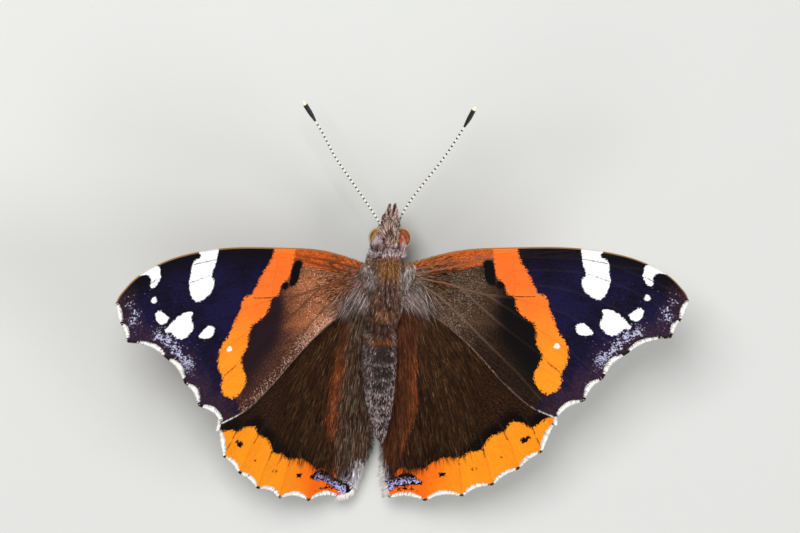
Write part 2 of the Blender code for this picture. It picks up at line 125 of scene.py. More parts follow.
def linear(red, green, blue):
    levels = [level / 255 for level in (red, green, blue)]
    curved = [((x + 0.055) / 1.055) ** 2.4 if x > 0.04 else x / 12.92 for x in levels]
    return (*curved, 1.0)


def startMaterial(name, constants):
    made = bpy.data.materials.new(name)
    made.use_nodes = True
    tree = made.node_tree
    shader = tree.nodes["Principled BSDF"]
    for key, level in constants.items():
        shader.inputs[key].default_value = level
    return made, Value(tree, None), shader


def connect(start, given, shader, key):
    start.tree.links.new(given.socket, shader.inputs[key])


def attribute(start, name):
    return start.node("ShaderNodeAttribute", {"attribute_name": name}, None, 2)


def bump(start, shader, height, strength, distance):
    raised = start.node("ShaderNodeBump", None, {"Height": height, "Strength": strength,
                                                 "Distance": distance})
    connect(start, raised, shader, "Normal")


# Noise, two-dimensional where it is laid on a map
def noise(start, place, scale, detail, roughness=0.5, flat=False, distortion=0.0):
    settings = {"noise_dimensions": "2D"} if flat else {}
    return start.node("ShaderNodeTexNoise", settings, {
        "Vector": place, "Scale": scale, "Detail": detail, "Roughness": roughness,
        "Distortion": distortion})


def objectPlace(start):
    return start.node("ShaderNodeTexCoord", None, None, 3)


# Curves and outlines
def smoothCurve(points, step, closed=False):
    route = np.array(points, dtype=float)
    if closed:
        ends = np.vstack([route[-1], route, route[0], route[1]])
    else:
        ends = np.vstack([2 * route[0] - route[1], route, 2 * route[-1] - route[-2]])
    share = np.linspace(0, 1, 16, endpoint=False)[:, None]
    dense = []
    for before, start, stop, after in zip(ends, ends[1:], ends[2:], ends[3:]):
        bend = 2 * before - 5 * start + 4 * stop - after
        twist = -before + 3 * start - 3 * stop + after
        dense.append(start + 0.5 * share * ((stop - before) + share * (bend + share * twist)))
    dense.append(route[:1] if closed else route[-1:])
    dense = np.vstack(dense)
    lengths = np.concatenate([[0], np.cumsum(np.linalg.norm(np.diff(dense, axis=0), axis=1))])
    marks = np.linspace(0, lengths[-1], max(2, int(round(lengths[-1] / step)) + 1))
    even = np.stack([np.interp(marks, lengths, axis) for axis in dense.T], axis=1)
    return even[:-1] if closed else even


def softStep(value, low, high):
    share = np.clip((value - low) / (high - low), 0, 1)
    return share * share * (3 - 2 * share)


def routeDistance(points, route):
    start = route[:-1]
    step = route[1:] - start
    away = points[:, None, :] - start[None]
    share = np.clip(np.sum(away * step, axis=2) / np.sum(step * step, axis=1), 0, 1)
    apart = np.linalg.norm(away - share[..., None] * step, axis=2)
    nearest = np.argmin(apart, axis=1)
    row = np.arange(len(points))
    return apart[row, nearest], (nearest + share[row, nearest]) / len(step)


def insideLoop(points, loop):
    inside = np.zeros(len(points), dtype=bool)
    for (x1, y1), (x2, y2) in zip(loop, np.roll(loop, -1, axis=0)):
        if y1 == y2:
            continue
        crosses = (y1 > points[:, 1]) != (y2 > points[:, 1])
        inside ^= crosses & (points[:, 0] < x1 + (points[:, 1] - y1) * (x2 - x1) / (y2 - y1))
    return inside


# How deep each point lies inside a patch, and below 0 outside it
def depthIn(points, outline):
    loop = smoothCurve(outline, 0.25, closed=True)
    apart, _ = routeDistance(points, np.vstack([loop, loop[:1]]))
    return np.where(insideLoop(points, loop), apart, -apart)


def depthInSpots(points, spots):
    depths = [radius - np.linalg.norm(points - np.array(place), axis=1)
              for place, radius in spots]
    return np.max(depths, axis=0)


# Rings of points along a shape, closed at both ends, as triangles that face outwards
def ringShape(rings):
    rings = np.asarray(rings, dtype=float)
    count, sides = rings.shape[:2]
    points = np.vstack([rings.reshape(-1, 3), rings[0].mean(axis=0), rings[-1].mean(axis=0)])
    first = (np.arange(count - 1)[:, None] * sides + np.arange(sides)).ravel()
    second = (np.arange(count - 1)[:, None] * sides + (np.arange(sides) + 1) % sides).ravel()
    faces = [np.stack([first, second, second + sides], axis=1),
             np.stack([first, second + sides, first + sides], axis=1)]
    near = np.arange(sides)
    beside = (near + 1) % sides
    start, stop = count * sides, count * sides + 1
    faces.append(np.stack([np.full(sides, start), beside, near], axis=1))
    top = (count - 1) * sides
    faces.append(np.stack([np.full(sides, stop), top + near, top + beside], axis=1))
    return points, np.vstack(faces)


def tubeShape(route, radii, sides=10, flatten=1.0):
    route = np.asarray(route, dtype=float)
    along = np.gradient(route, axis=0)
    along /= np.linalg.norm(along, axis=1)[:, None]
    across = np.array([0.1, 0.2, 0.97])
    rings = []
    for centre, way, radius in zip(route, along, radii):
        across = across - way * np.dot(across, way)
        across /= np.linalg.norm(across)
        other = np.cross(way, across)
        turn = 2 * math.pi * np.arange(sides)[:, None] / sides
        rings.append(centre + radius * (np.cos(turn) * across * flatten + np.sin(turn) * other))
    return ringShape(rings)


def joinShapes(shapes):
    points, faces, start = [], [], 0
    for corners, triangles in shapes:
        points.append(corners)
        faces.append(triangles + start)
        start += len(corners)
    return np.vstack(points), np.vstack(faces)


def pieceFromTriangles(name, points, faces, made):
    mesh = bpy.data.meshes.new(name)
    mesh.vertices.add(len(points))
    mesh.vertices.foreach_set("co", toFrame(points).astype(np.float32).ravel())
    mesh.loops.add(3 * len(faces))
    mesh.loops.foreach_set("vertex_index", np.asarray(faces, dtype=np.int32).ravel())
    mesh.polygons.add(len(faces))
    mesh.polygons.foreach_set("loop_start", np.arange(len(faces), dtype=np.int32) * 3)
    mesh.update(calc_edges=True)
    mesh.shade_smooth()
    mesh.materials.append(made)
    piece = bpy.data.objects.new(name, mesh)
    bpy.context.scene.collection.objects.link(piece)
    return piece


def giveColour(piece, colours):
    layer = piece.data.attributes.new("coatColour", "FLOAT_COLOR", "POINT")
    shades = np.column_stack([colours, np.ones(len(colours))])
    layer.data.foreach_set("color", shades.astype(np.float32).ravel())


# Tapered three-sided hairs, each a few faces, bending towards the lie of the coat
hair = {"root": -0.08, "knee": 0.55, "taper": 0.82, "kneeTip": 0.6, "corners": 7,
        "patch": (0.0009, 0.0026)}


def hairShape(roots, ways, lies, lengths, widths, bend):
    count = len(roots)
    ways = ways / np.linalg.norm(ways, axis=1)[:, None]
    helper = np.where(np.abs(ways[:, 2:3]) < 0.9, [[0.0, 0.0, 1.0]], [[1.0, 0.0, 0.0]])
    across = np.cross(helper, ways)
    across /= np.linalg.norm(across, axis=1)[:, None]
    other = np.cross(ways, across)
    points = []
    for share, taper in ((hair["root"], 1.0), (hair["knee"], hair["taper"])):
        middle = roots + lengths[:, None] * (share * ways + bend * max(share, 0) ** 2 * lies)
        for turn in (0, 2 * math.pi / 3, 4 * math.pi / 3):
            reach = math.cos(turn) * across + math.sin(turn) * other
            points.append(middle + widths[:, None] * taper * reach)
    points.append(roots + lengths[:, None] * (ways + bend * lies))
    corners = np.stack(points, axis=1).reshape(-1, 3)
    pattern = [(2, 1, 0), (3, 4, 6), (4, 5, 6), (5, 3, 6)]
    for near, beside in ((0, 1), (1, 2), (2, 0)):
        pattern += [(near, beside, beside + 3), (near, beside + 3, near + 3)]
    first = np.arange(count)[:, None, None] * hair["corners"]
    return corners, (first + np.array(pattern)[None]).reshape(-1, 3)


# Each hair's own small patch of the map, at the place of its root
def patchMap(places):
    shares = [hair["root"]] * 3 + [hair["knee"]] * 3 + [1.0]
    sides = [-1, 0, 1] * 2 + [0]
    offsets = np.stack([sides, shares], axis=1) * hair["patch"]
    return (places[:, None, :] + offsets[None]).reshape(-1, 2)


def makeCoat(name, hairs, colours, places, made):
    corners, faces = hairShape(*hairs)
    piece = pieceFromTriangles(name, corners, faces, made)
    giveColour(piece, np.repeat(colours, hair["corners"], axis=0))
    tips = [0.0] * 3 + [hair["kneeTip"]] * 3 + [1.0]
    giveAttribute(piece, "tip", np.tile(tips, len(colours)))
    giveMap(piece, "OFBake", patchMap(places))
    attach(piece, "root")
    print(name, len(colours), "hairs")


# Wings, drawn flat in millimetres outwards and forwards from the middle of the body
wing = {"root": 2.0, "rise": 0.31, "pitch": -0.05, "layer": 0.8, "fold": 2.5,
        "thickness": 0.09, "grid": 0.27, "veinStep": 0.25, "veinRise": 0.07, "veinHalf": 0.13,
        "lineHalf": 0.11, "sag": 0.13, "edge": 0.08, "foldStart": (3.0, -2.0),
        "foldWay": (-0.577, -0.817), "veinWidth": 0.9, "outline": 0.35, "marginStep": 0.13,
        "apart": 0.1, "base": (2.0, 1.0), "hairBase": (1.5, 2.0), "scaleBase": (0.5, 2.0),
        "foreMap": 42, "hindMap": 46}
hindFold = {"Right": 0.17, "Left": 0.22}
foreCosta = [(1.2, 2.5), (3.4, 3.6), (8.1, 5.25), (14.0, 6.05), (20.5, 6.5), (26.2, 5.95),
             (30.3, 4.4), (32.4, 2.6), (33.1, 1.5)]
foreMargin = [(33.1, 1.5), (32.4, -0.9), (31.5, -3.05), (26.8, -5.3), (24.45, -8.35),
              (22.6, -11.15), (19.6, -13.4)]
foreScallops = [-0.12, 0.05, 0.45, 0.25, 0.25, 0.25]
foreLens = [0.3, 0.33, 0.27, 0.39, 0.39, 0.37]
foreGaps = [0.12, 0.16, 0.5, 0.38, 0.38, 0.34, 0.2]
foreSkew = [1.0, 1.0, 1.9, 1.0, 1.0, 1.0]
foreInner = [(19.6, -13.4), (16.6, -12.2), (13.5, -9.6), (10.7, -6.7), (7.9, -4.2), (5.2, -2.3),
             (3.2, -1.2), (1.2, -0.6)]
hindCosta = [(1.0, 1.3), (5.0, 0.3), (9.5, -1.4), (14.0, -4.6), (17.6, -8.8), (19.4, -12.2),
             (19.7, -14.4)]
hindMargin = [(19.7, -14.4), (18.75, -18.0), (16.55, -20.35), (13.95, -22.7), (10.85, -24.45),
              (6.9, -25.5), (3.0, -25.6)]
hindScallops = [-0.1, 0.12, 0.15, 0.3, 0.4, 0.3]
hindLens = [0.36, 0.27, 0.27, 0.3, 0.34, 0.36]
hindGaps = [0.1, 0.16, 0.16, 0.16, 0.18, 0.2, 0.05]
hindSkew = [1.0, 1.0, 1.0, 1.0, 1.0, 1.0]
hindInner = {
    "Right": [(3.0, -25.6), (2.3, -22.7), (1.9, -19.6), (1.7, -14.0), (1.5, -8.0), (1.0, -3.2)],
    "Left": [(3.0, -25.6), (1.0, -25.3), (0.0, -22.2), (-0.9, -19.3), (0.3, -14.0), (1.2, -8.0),
             (1.0, -3.2)],
}
foreVeins = {
    "subcosta": [(3.6, 2.85), (8.4, 4.3), (12.2, 5.15), (16.6, 6.15)],
    "radius": [(3.7, 2.3), (7.0, 3.2), (11.2, 4.5), (14.0, 4.95), (21.4, 5.3), (24.6, 4.8),
               (29.4, 3.2), (32.9, 1.7)],
    "radiusOne": [(13.0, 4.8), (16.5, 5.6), (20.4, 6.3)],
    "radiusTwo": [(17.0, 5.1), (21.0, 5.85), (25.0, 6.0)],
    "radiusThree": [(24.6, 4.8), (27.6, 4.65), (30.2, 4.3)],
    "mediaOne": [(13.9, 3.4), (18.5, 3.75), (22.4, 3.55), (27.5, 1.8), (32.3, -0.9)],
    "mediaTwo": [(14.2, 1.9), (20.0, 1.6), (26.3, -0.5), (31.4, -3.0)],
    "cellLower": [(3.8, 1.7), (7.1, 1.25), (10.9, 0.4), (14.1, 0.2), (20.3, -1.4), (26.7, -5.3)],
    "cellEnd": [(13.8, 4.9), (13.9, 3.4), (14.2, 1.9), (14.1, 0.2)],
    "cubitusOne": [(11.2, 0.35), (15.8, -2.4), (20.4, -5.4), (24.4, -8.35)],
    "cubitusTwo": [(8.2, 0.95), (13.0, -3.0), (18.6, -7.1), (22.5, -11.1)],
    "anal": [(4.0, 1.1), (7.1, -1.1), (11.5, -5.2), (15.6, -9.0), (19.5, -13.3)],
}
hindVeins = {
    "subcosta": [(3.3, -0.3), (8.2, -2.0), (13.2, -5.3), (18.7, -10.8)],
    "radial": [(3.4, -1.1), (7.2, -3.7), (12.4, -7.4), (19.6, -14.3)],
    "mediaOne": [(8.9, -4.9), (12.8, -9.0), (17.0, -14.6), (18.7, -17.95)],
    "mediaTwo": [(9.2, -6.6), (12.2, -12.3), (15.0, -16.7), (16.5, -20.3)],
    "cubitus": [(3.3, -1.9), (5.6, -6.2), (8.6, -9.9), (11.0, -14.4), (12.7, -18.6),
                (13.9, -22.6)],
    "cubitusOne": [(7.6, -9.0), (9.2, -14.6), (10.0, -19.6), (10.8, -24.3)],
    "cubitusTwo": [(5.3, -5.8), (6.4, -11.5), (6.6, -20.5), (6.9, -25.4)],
    "anal": [(2.9, -2.9), (4.0, -8.0), (4.7, -15.0), (3.9, -21.0), (3.1, -25.5)],
}


def costaLine(hind, step):
    return smoothCurve(hindCosta if hind else foreCosta, step)


def innerLine(hind, side, step):
    return smoothCurve(hindInner[side] if hind else foreInner, step)


# The margin between vein ends, drawn in by the white fringe's thickness at each point
def marginLine(hind, step):
    ends, depths = (hindMargin, hindScallops) if hind else (foreMargin, foreScallops)
    lens, gaps, skew = (hindLens, hindGaps, hindSkew) if hind else (foreLens, foreGaps, foreSkew)
    points, thickness = [], []
    for index, depth in enumerate(depths):
        first = np.array(ends[index])
        chord = np.array(ends[index + 1]) - first
        length = np.linalg.norm(chord)
        inwards = np.array([chord[1], -chord[0]]) / length
        count = int(round(length / step))
        share = np.arange(count) / count
        within = (share * length - gaps[index]) / (length - gaps[index] - gaps[index + 1])
        thick = lens[index] * np.sin(math.pi * np.clip(within, 0, 1) ** skew[index]) ** 0.8
        dip = depth * np.sin(math.pi * share) + wing["edge"] + thick
        points.append(first + share[:, None] * chord + dip[:, None] * inwards)
        thickness.append(thick)
    return np.vstack(points), np.concatenate(thickness)


def wingOutline(hind, side):
    costa = costaLine(hind, wing["outline"])
    inner = innerLine(hind, side, wing["outline"])
    return np.vstack([costa[:-1], marginLine(hind, wing["marginStep"])[0], inner[1:]])


def marginDistance(points, hind):
    return routeDistance(points, marginLine(hind, 0.25)[0])[0]


def wingRoutes(hind):
    veins = hindVeins if hind else foreVeins
    return [smoothCurve(points, wing["veinStep"]) for points in veins.values()]


def veinShape(points, hind):
    apart = np.full(len(points), 99.0)
    along = np.zeros(len(points))
    for route in wingRoutes(hind) + [costaLine(hind, wing["veinStep"])]:
        distance, share = routeDistance(points, route)
        nearer = distance < apart
        apart = np.where(nearer, distance, apart)
        along = np.where(nearer, share, along)
    return apart, along


# Height of the middle of the membrane over the wing roots
def wingHeight(points, hind, side):
    out, forward = points[:, 0], points[:, 1]
    height = wing["rise"] * (out - wing["root"]) + wing["pitch"] * forward
    if hind:
        (startOut, startForward), (wayOut, wayForward) = wing["foldStart"], wing["foldWay"]
        behind = wayOut * (out - startOut) + wayForward * (forward - startForward)
        bent = 0.5 * (behind + np.sqrt(behind ** 2 + wing["fold"] ** 2))
        flat = 0.5 * wing["fold"] * np.exp(-np.abs(behind) / wing["fold"])
        height = height - wing["layer"] - hindFold[side] * (bent - flat)
    apart, along = veinShape(points, hind)
    sag = wing["sag"] * (1 - np.exp(-(apart / wing["veinWidth"]) ** 2))
    return height - sag, apart, along


def wingPlan(outline, hind):
    marks = hindMarks if hind else foreMarks
    routes = [(route, wing["veinHalf"]) for route in wingRoutes(hind)]
    routes += [(smoothCurve(line, 0.16), wing["lineHalf"]) for line in marks["lines"]]
    lines = []
    for route, half in routes:
        along = np.gradient(route, axis=0)
        along /= np.linalg.norm(along, axis=1)[:, None]
        across = np.stack([-along[:, 1], along[:, 0]], axis=1) * half
        lines += [route, route + across, route - across]
    step = wing["grid"]
    low, high = outline.min(axis=0), outline.max(axis=0)
    rows = np.arange(low[1], high[1], step * 0.866)
    grid = [(x + 0.5 * step * (index % 2), y) for index, y in enumerate(rows)
            for x in np.arange(low[0], high[0], step)]
    grid = np.array(grid)
    spare = np.vstack(lines + [grid])
    spare = spare[insideLoop(spare, outline)]
    taken = KDTree(len(outline) + len(spare))
    kept = list(outline)
    for index, point in enumerate(outline):
        taken.insert((*point, 0), index)
    for index, point in enumerate(spare):
        taken.insert((*point, 0), len(outline) + index)
    taken.balance()
    for index, point in enumerate(spare):
        near = taken.find_range((*point, 0), wing["apart"])
        if all(other >= len(outline) + index for _, other, _ in near):
            kept.append(point)
    count = len(outline)
    edges = [(index, (index + 1) % count) for index in range(count)]
    plan = delaunay_2d_cdt([Vector(point) for point in kept], edges, [], 1, 0.001)
    return np.array([tuple(corner) for corner in plan[0]]), plan[2]


def pieceFromArrays(name, points, faces, materials):
    mesh = bpy.data.meshes.new(name)
    mesh.from_pydata([tuple(point) for point in points], [], faces)
    for made in materials:
        mesh.materials.append(made)
    piece = bpy.data.objects.new(name, mesh)
    bpy.context.scene.collection.objects.link(piece)
    return piece


def giveAttribute(piece, name, levels):
    layer = piece.data.attributes.new(name, "FLOAT", "POINT")
    layer.data.foreach_set("value", np.asarray(levels, dtype=np.float32))


def giveMap(piece, name, places):
    corners = np.zeros(len(piece.data.loops), dtype=np.int32)
    piece.data.loops.foreach_get("vertex_index", corners)
    layer = piece.data.uv_layers.new(name=name)
    layer.data.foreach_set("uv", np.asarray(places, dtype=np.float32)[corners].ravel())


# Markings of the upper side, in the wing's own millimetres
foreMarks = {
    "band": [(13.9, 6.6), (14.3, 5.2), (15.2, 3.7), (16.2, 2.0), (16.7, 0.9), (17.6, 0.7),
             (18.0, -0.4), (18.6, -1.9), (19.3, -3.4), (20.2, -4.6), (20.5, -6.2), (20.2, -7.4),
             (19.8, -8.2), (20.0, -9.2), (19.5, -10.2), (18.6, -10.7), (17.6, -10.3), (17.0, -9.3),
             (17.1, -7.9), (17.6, -6.8), (17.5, -6.0), (17.0, -4.9), (16.8, -3.7), (16.4, -2.4),
             (15.2, -1.8), (14.5, -0.7), (14.3, 0.2), (13.4, 0.7), (13.0, 1.7), (12.3, 2.3),
             (11.9, 3.3), (11.7, 4.7), (11.5, 6.5)],
    "cellBar": [(10.5, 4.0), (11.2, 4.45), (11.7, 4.0), (12.0, 2.6), (12.1, 1.7), (11.5, 1.4),
                (10.95, 2.1), (10.8, 3.1)],
    "velvet": [(13.3, 1.2), (12.5, 0.2), (12.6, -2.4), (13.1, -4.8), (14.8, -7.2), (16.8, -9.9),
               (18.3, -9.6), (18.6, -6.5), (17.8, -3.0), (16.0, -0.6), (14.8, 0.6)],
    "costalBar": [(21.3, 6.7), (23.4, 6.5), (23.2, 5.8), (24.1, 5.2), (24.3, 4.0), (24.4, 2.4),
                  (24.0, 1.2), (23.3, 0.8), (22.4, 1.1), (21.6, 1.9), (21.4, 2.9), (21.8, 3.6),
                  (21.4, 4.6), (21.2, 5.6)],
    "apexPatch": [(28.1, 4.9), (28.6, 5.3), (29.4, 5.2), (30.9, 4.5), (30.0, 4.3), (29.4, 4.2),
                  (29.0, 3.7), (29.15, 3.1), (28.7, 2.75), (28.2, 3.3), (27.9, 4.0)],
    "oval": [(26.7, -0.9), (27.1, -0.35), (27.9, 0.1), (28.35, -0.25), (28.1, -1.0),
             (27.4, -1.4)],
    "bigSpot": [(23.9, -0.4), (24.9, -0.4), (25.8, -0.9), (26.7, -1.7), (27.1, -2.2),
                (26.3, -2.5), (25.7, -3.1), (25.0, -3.3), (24.2, -2.9), (23.65, -2.1),
                (23.95, -1.3)],
    "smallSpot": [(21.05, -2.6), (21.5, -2.1), (22.2, -2.2), (22.7, -2.8), (23.0, -3.25),
                  (22.1, -3.5), (21.35, -3.35)],
    "dots": [((28.6, 1.4), 0.36), ((19.15, -5.0), 0.3)],
    "outer": [(13.8, 8.0), (14.0, 5.6), (14.9, 3.4), (15.8, 1.6), (16.9, 0.0), (17.8, -2.0),
              (18.6, -4.2), (19.2, -7.0), (18.8, -9.4), (18.0, -10.6), (17.6, -14.0),
              (24.0, -14.0), (36.0, -4.0), (35.0, 5.0), (26.0, 9.0)],
    "dust": [[(24.0, -6.5), (24.7, -5.5), (25.6, -4.7)],
             [(26.1, -3.8), (26.9, -3.15), (27.9, -2.6)], [(30.6, 0.2), (30.95, -0.7)],
             [(31.3, 1.4), (31.5, 1.0)], [(26.6, -2.6), (27.0, -2.9)]],
    "lines": [[(13.8, 0.35), (16.4, 0.55)], [(18.3, -7.0), (19.8, -8.05)],
              [(21.3, 5.35), (24.0, 5.0)], [(22.0, 3.6), (24.5, 2.95)],
              [(28.2, 3.75), (29.4, 3.25)]],
    "streak": [(2.5, 3.1), (7.0, 4.4), (12.5, 5.6)],
    "streakTwo": [(3.5, 2.2), (6.5, 3.0), (10.4, 4.1)],
    "streakThree": [(3.5, 1.6), (7.0, 1.3)],
}
hindMarks = {
    "margin": [(20.6, -12.4), (18.7, -13.9), (17.7, -14.95), (17.1, -15.05), (16.2, -14.7),
               (15.3, -14.6), (14.6, -15.8), (13.65, -16.4), (12.65, -17.6), (12.4, -18.5),
               (11.0, -19.0), (10.25, -19.65), (8.9, -19.8), (8.0, -20.1), (6.8, -21.1),
               (6.4, -21.5), (5.0, -21.75), (3.9, -21.8), (3.4, -22.9), (2.9, -24.0),
               (3.0, -27.5), (12.0, -26.5), (18.0, -22.5), (22.0, -16.0)],
    "spots": [((16.75, -16.8), 0.36), ((17.2, -16.35), 0.22), ((14.5, -19.05), 0.12),
              ((11.62, -20.96), 0.13), ((11.98, -20.92), 0.13), ((8.62, -22.0), 0.22),
              ((8.35, -22.1), 0.24)],
    "blueRight": [(2.7, -23.9), (3.6, -23.15), (4.7, -22.9), (5.9, -23.0), (6.2, -23.25),
                  (5.2, -23.45), (4.3, -23.65), (3.5, -24.05), (3.0, -24.8)],
    "blueLeft": [(6.6, -22.5), (5.7, -22.25), (4.5, -22.9), (3.0, -24.0), (1.8, -24.9),
                 (2.0, -25.5), (3.35, -24.5), (4.85, -23.3), (6.1, -22.9)],
    "blackRight": [(2.5, -23.6), (3.6, -22.75), (4.3, -22.35), (5.3, -22.3), (5.8, -22.75),
                   (6.5, -23.1), (6.4, -23.5), (5.4, -23.75), (4.3, -23.95), (3.4, -24.4),
                   (2.6, -24.9)],
    "blackLeft": [(7.0, -22.4), (5.8, -21.8), (4.4, -22.4), (2.8, -23.6), (1.4, -24.6),
                  (1.2, -25.5), (2.3, -25.3), (3.45, -24.6), (4.95, -23.4), (6.2, -23.0)],
    "dashes": [((3.9, -24.4), 0.17), ((4.25, -24.3), 0.17), ((4.6, -24.22), 0.18),
               ((5.0, -24.2), 0.18), ((5.4, -24.25), 0.15), ((5.9, -24.45), 0.14)],
    "lines": [[(17.45, -15.0), (18.0, -16.2), (18.75, -17.6)], [(14.35, -15.7), (15.0, -16.9)],
              [(12.4, -18.0), (12.8, -19.3)], [(9.9, -19.7), (10.1, -20.5)],
              [(6.7, -21.2), (6.75, -21.9)]],
    "crease": [(4.1, -1.0), (4.4, -8.0), (4.9, -14.0), (4.3, -18.0), (3.6, -21.6)],
    "strip": [(4.1, -1.0), (4.4, -8.0), (4.9, -14.0), (4.3, -18.0), (3.6, -21.6), (1.0, -22.5),
              (-3.0, -18.0), (-2.0, -3.0)],
}


def strokes(points, lines):
    return [routeDistance(points, np.array(line))[0] for line in lines]


def foreUpper(points):
    marks = foreMarks
    whites = [depthIn(points, marks[name])
              for name in ("costalBar", "apexPatch", "oval", "bigSpot", "smallSpot")]
    whites.append(depthInSpots(points, marks["dots"]))
    streaks = [routeDistance(points, smoothCurve(marks[name], 0.5))[0]
               for name in ("streak", "streakTwo", "streakThree")]
    dust = [np.exp(-(nearest / 0.55) ** 2) * strength for nearest, strength in
            zip(strokes(points, marks["dust"]), (1.05, 1.1, 0.85, 0.5, 0.7))]
    out = points[:, 0]
    rust = np.max([1.1 * np.exp(-(streaks[0] / 0.8) ** 2) * np.clip((out - 1) / 6, 0.5, 1),
                   0.85 * np.exp(-(streaks[1] / 0.4) ** 2),
                   0.6 * np.exp(-(streaks[2] / 0.3) ** 2)], axis=0)
    return {
        "band": depthIn(points, marks["band"]),
        "black": np.max([depthIn(points, marks["cellBar"]),
                         depthInSpots(points, [((12.6, 1.55), 0.45)])], axis=0),
        "white": np.max(whites, axis=0),
        "velvet": depthIn(points, marks["velvet"]),
        "dust": np.max(dust, axis=0),
        "rust": rust,
        "outer": depthIn(points, marks["outer"]),
        "line": np.min(strokes(points, marks["lines"]), axis=0),
        "glow": np.clip((3.5 - points[:, 1]) / 13, 0, 1) + 0.5 * softStep(points[:, 1], 4.0, 6.5),
        "trail": 1 - softStep(routeDistance(points, smoothCurve(foreInner, 0.3))[0], 0.2, 2.4),
    }


# How far outwards from the crease beside the abdomen, and below 0 on its inner side
def creaseSide(points):
    route = smoothCurve(hindMarks["crease"], 0.25)
    apart, _ = routeDistance(points, route)
    beside = np.interp(-points[:, 1], -route[:, 1], route[:, 0])
    return np.where(points[:, 0] > beside, apart, -apart)


def hindUpper(points, side):
    marks = hindMarks
    apart = creaseSide(points)
    length = softStep(-points[:, 1], 5.0, 9.0) * (1 - softStep(-points[:, 1], 18.0, 22.5))
    # fold is a painted highlight where the wing's fold by the crease catches light, and crease a
    # painted shadow line beside it
    if side == "Right":
        fold = 0.7 * np.exp(-((apart + 0.3) / 0.28) ** 2)
        crease = 0.8 * np.exp(-((apart - 0.3) / 0.25) ** 2)
        strip = 0.6 * np.clip(0.5 + depthIn(points, marks["strip"]), 0, 1)
    else:
        length = length * (1 - softStep(-points[:, 1], 15.5, 19.0))
        fold = 0.55 * np.exp(-(apart / 0.8) ** 2)
        crease = 0.6 * np.exp(-((apart + 1.1) / 0.35) ** 2)
        strip = np.full(len(points), 0.1)
    ends = [((end[0], end[1]), 0.27) for end in hindMargin[1:6]]
    band = depthIn(points, marks["margin"])
    if side == "Left":
        band = np.minimum(band, -14.8 - points[:, 1])
    return {
        "band": band,
        "black": np.max([depthInSpots(points, marks["spots"] + ends),
                         depthIn(points, marks["black" + side]),
                         depthInSpots(points, marks["dashes"])], axis=0),
        "white": depthIn(points, marks["blue" + side]),
        "dust": np.zeros(len(points)),
        "rust": strip * (1 - softStep(-points[:, 1], 19.0, 22.0)),
        "outer": np.zeros(len(points)),
        "line": np.min(strokes(points, marks["lines"]), axis=0),
        "glow": np.clip((points[:, 0] - 5.0) / 7, 0, 1),
        "fold": fold * length,
        "crease": crease * length,
        "corner": softStep(-points[:, 1], 21.5, 24.0) * softStep(-points[:, 0], -3.4, -2.4),
    }


# Scales lie in rows round the wing's root: along the first axis across, along the second out
def scalePlaces(points):
    away = points - wing["scaleBase"]
    angle = np.arctan2(away[:, 1], away[:, 0])
    return np.stack([20 * angle, np.linalg.norm(away, axis=1)], axis=1)


# The OFBake map of a wing: its upper side, and beside or above that its underside
def giveWingMap(piece, plan, wallStart, hind):
    low = plan.min(axis=0)
    top = (plan - low) / wing["hindMap" if hind else "foreMap"] + 0.01
    bottom = top + np.array([0.5, 0.0] if hind else [0.0, 0.5])
    corners = np.zeros(len(piece.data.loops), dtype=np.int32)
    piece.data.loops.foreach_get("vertex_index", corners)
    places = np.vstack([top, bottom])[corners]
    away = top - top.mean(axis=0)
    away *= 0.002 / np.linalg.norm(away, axis=1)[:, None]
    beyond = np.vstack([top, top + away])
    places[wallStart:] = beyond[corners[wallStart:]]
    layer = piece.data.uv_layers.new(name="OFBake")
    layer.data.foreach_set("uv", places.astype(np.float32).ravel())


# A map drawn out along its two axes
def stretched(start, place, across, along):
    return start.node("ShaderNodeMapping", None, {"Vector": place,
                                                  "Scale": (across, along, 1.0)})


def scaleCells(start, place, feature="F1", output=1):
    return start.node("ShaderNodeTexVoronoi", {"voronoi_dimensions": "2D", "feature": feature},
                      {"Vector": place, "Scale": 1.0, "Randomness": 0.75}, output)


# Noise and cells that break up a wing's markings as rows of scales do
class WingScales:
    def __init__(self, start):
        place = start.node("ShaderNodeUVMap", {"uv_map": "scaleMap"})
        rows = stretched(start, place, 12.0, 6.4)
        clumps = stretched(start, place, 4.5, 5.0)
        self.grain = noise(start, clumps, 1.0, 4.0, 0.8, True)
        flecks = start.node("ShaderNodeTexVoronoi", {"voronoi_dimensions": "2D"},
                            {"Vector": clumps, "Scale": 2.2, "Randomness": 1.0}, 1)
        self.fleck = start.node("ShaderNodeSeparateColor", None, {0: flecks})
        split = start.tree.nodes.new("ShaderNodeSeparateColor")
        start.tree.links.new(scaleCells(start, rows).socket, split.inputs[0])
        self.pick, self.pickTwo, self.pickThree = [
            Value(start.tree, split.outputs[index]) for index in range(3)]
        self.edge = scaleCells(start, rows, "DISTANCE_TO_EDGE", 0)
        self.soft = noise(start, place, 1.1, 3.0, 0.6, True)
        self.broad = noise(start, place, 0.28, 2.0, 0.5, True)
        self.strands = noise(start, stretched(start, place, 7.0, 0.5), 1.0, 3.0, 0.65, True)
        self.ragged = (self.pick - 0.5) * 0.36 + (self.soft - 0.5) * 0.32


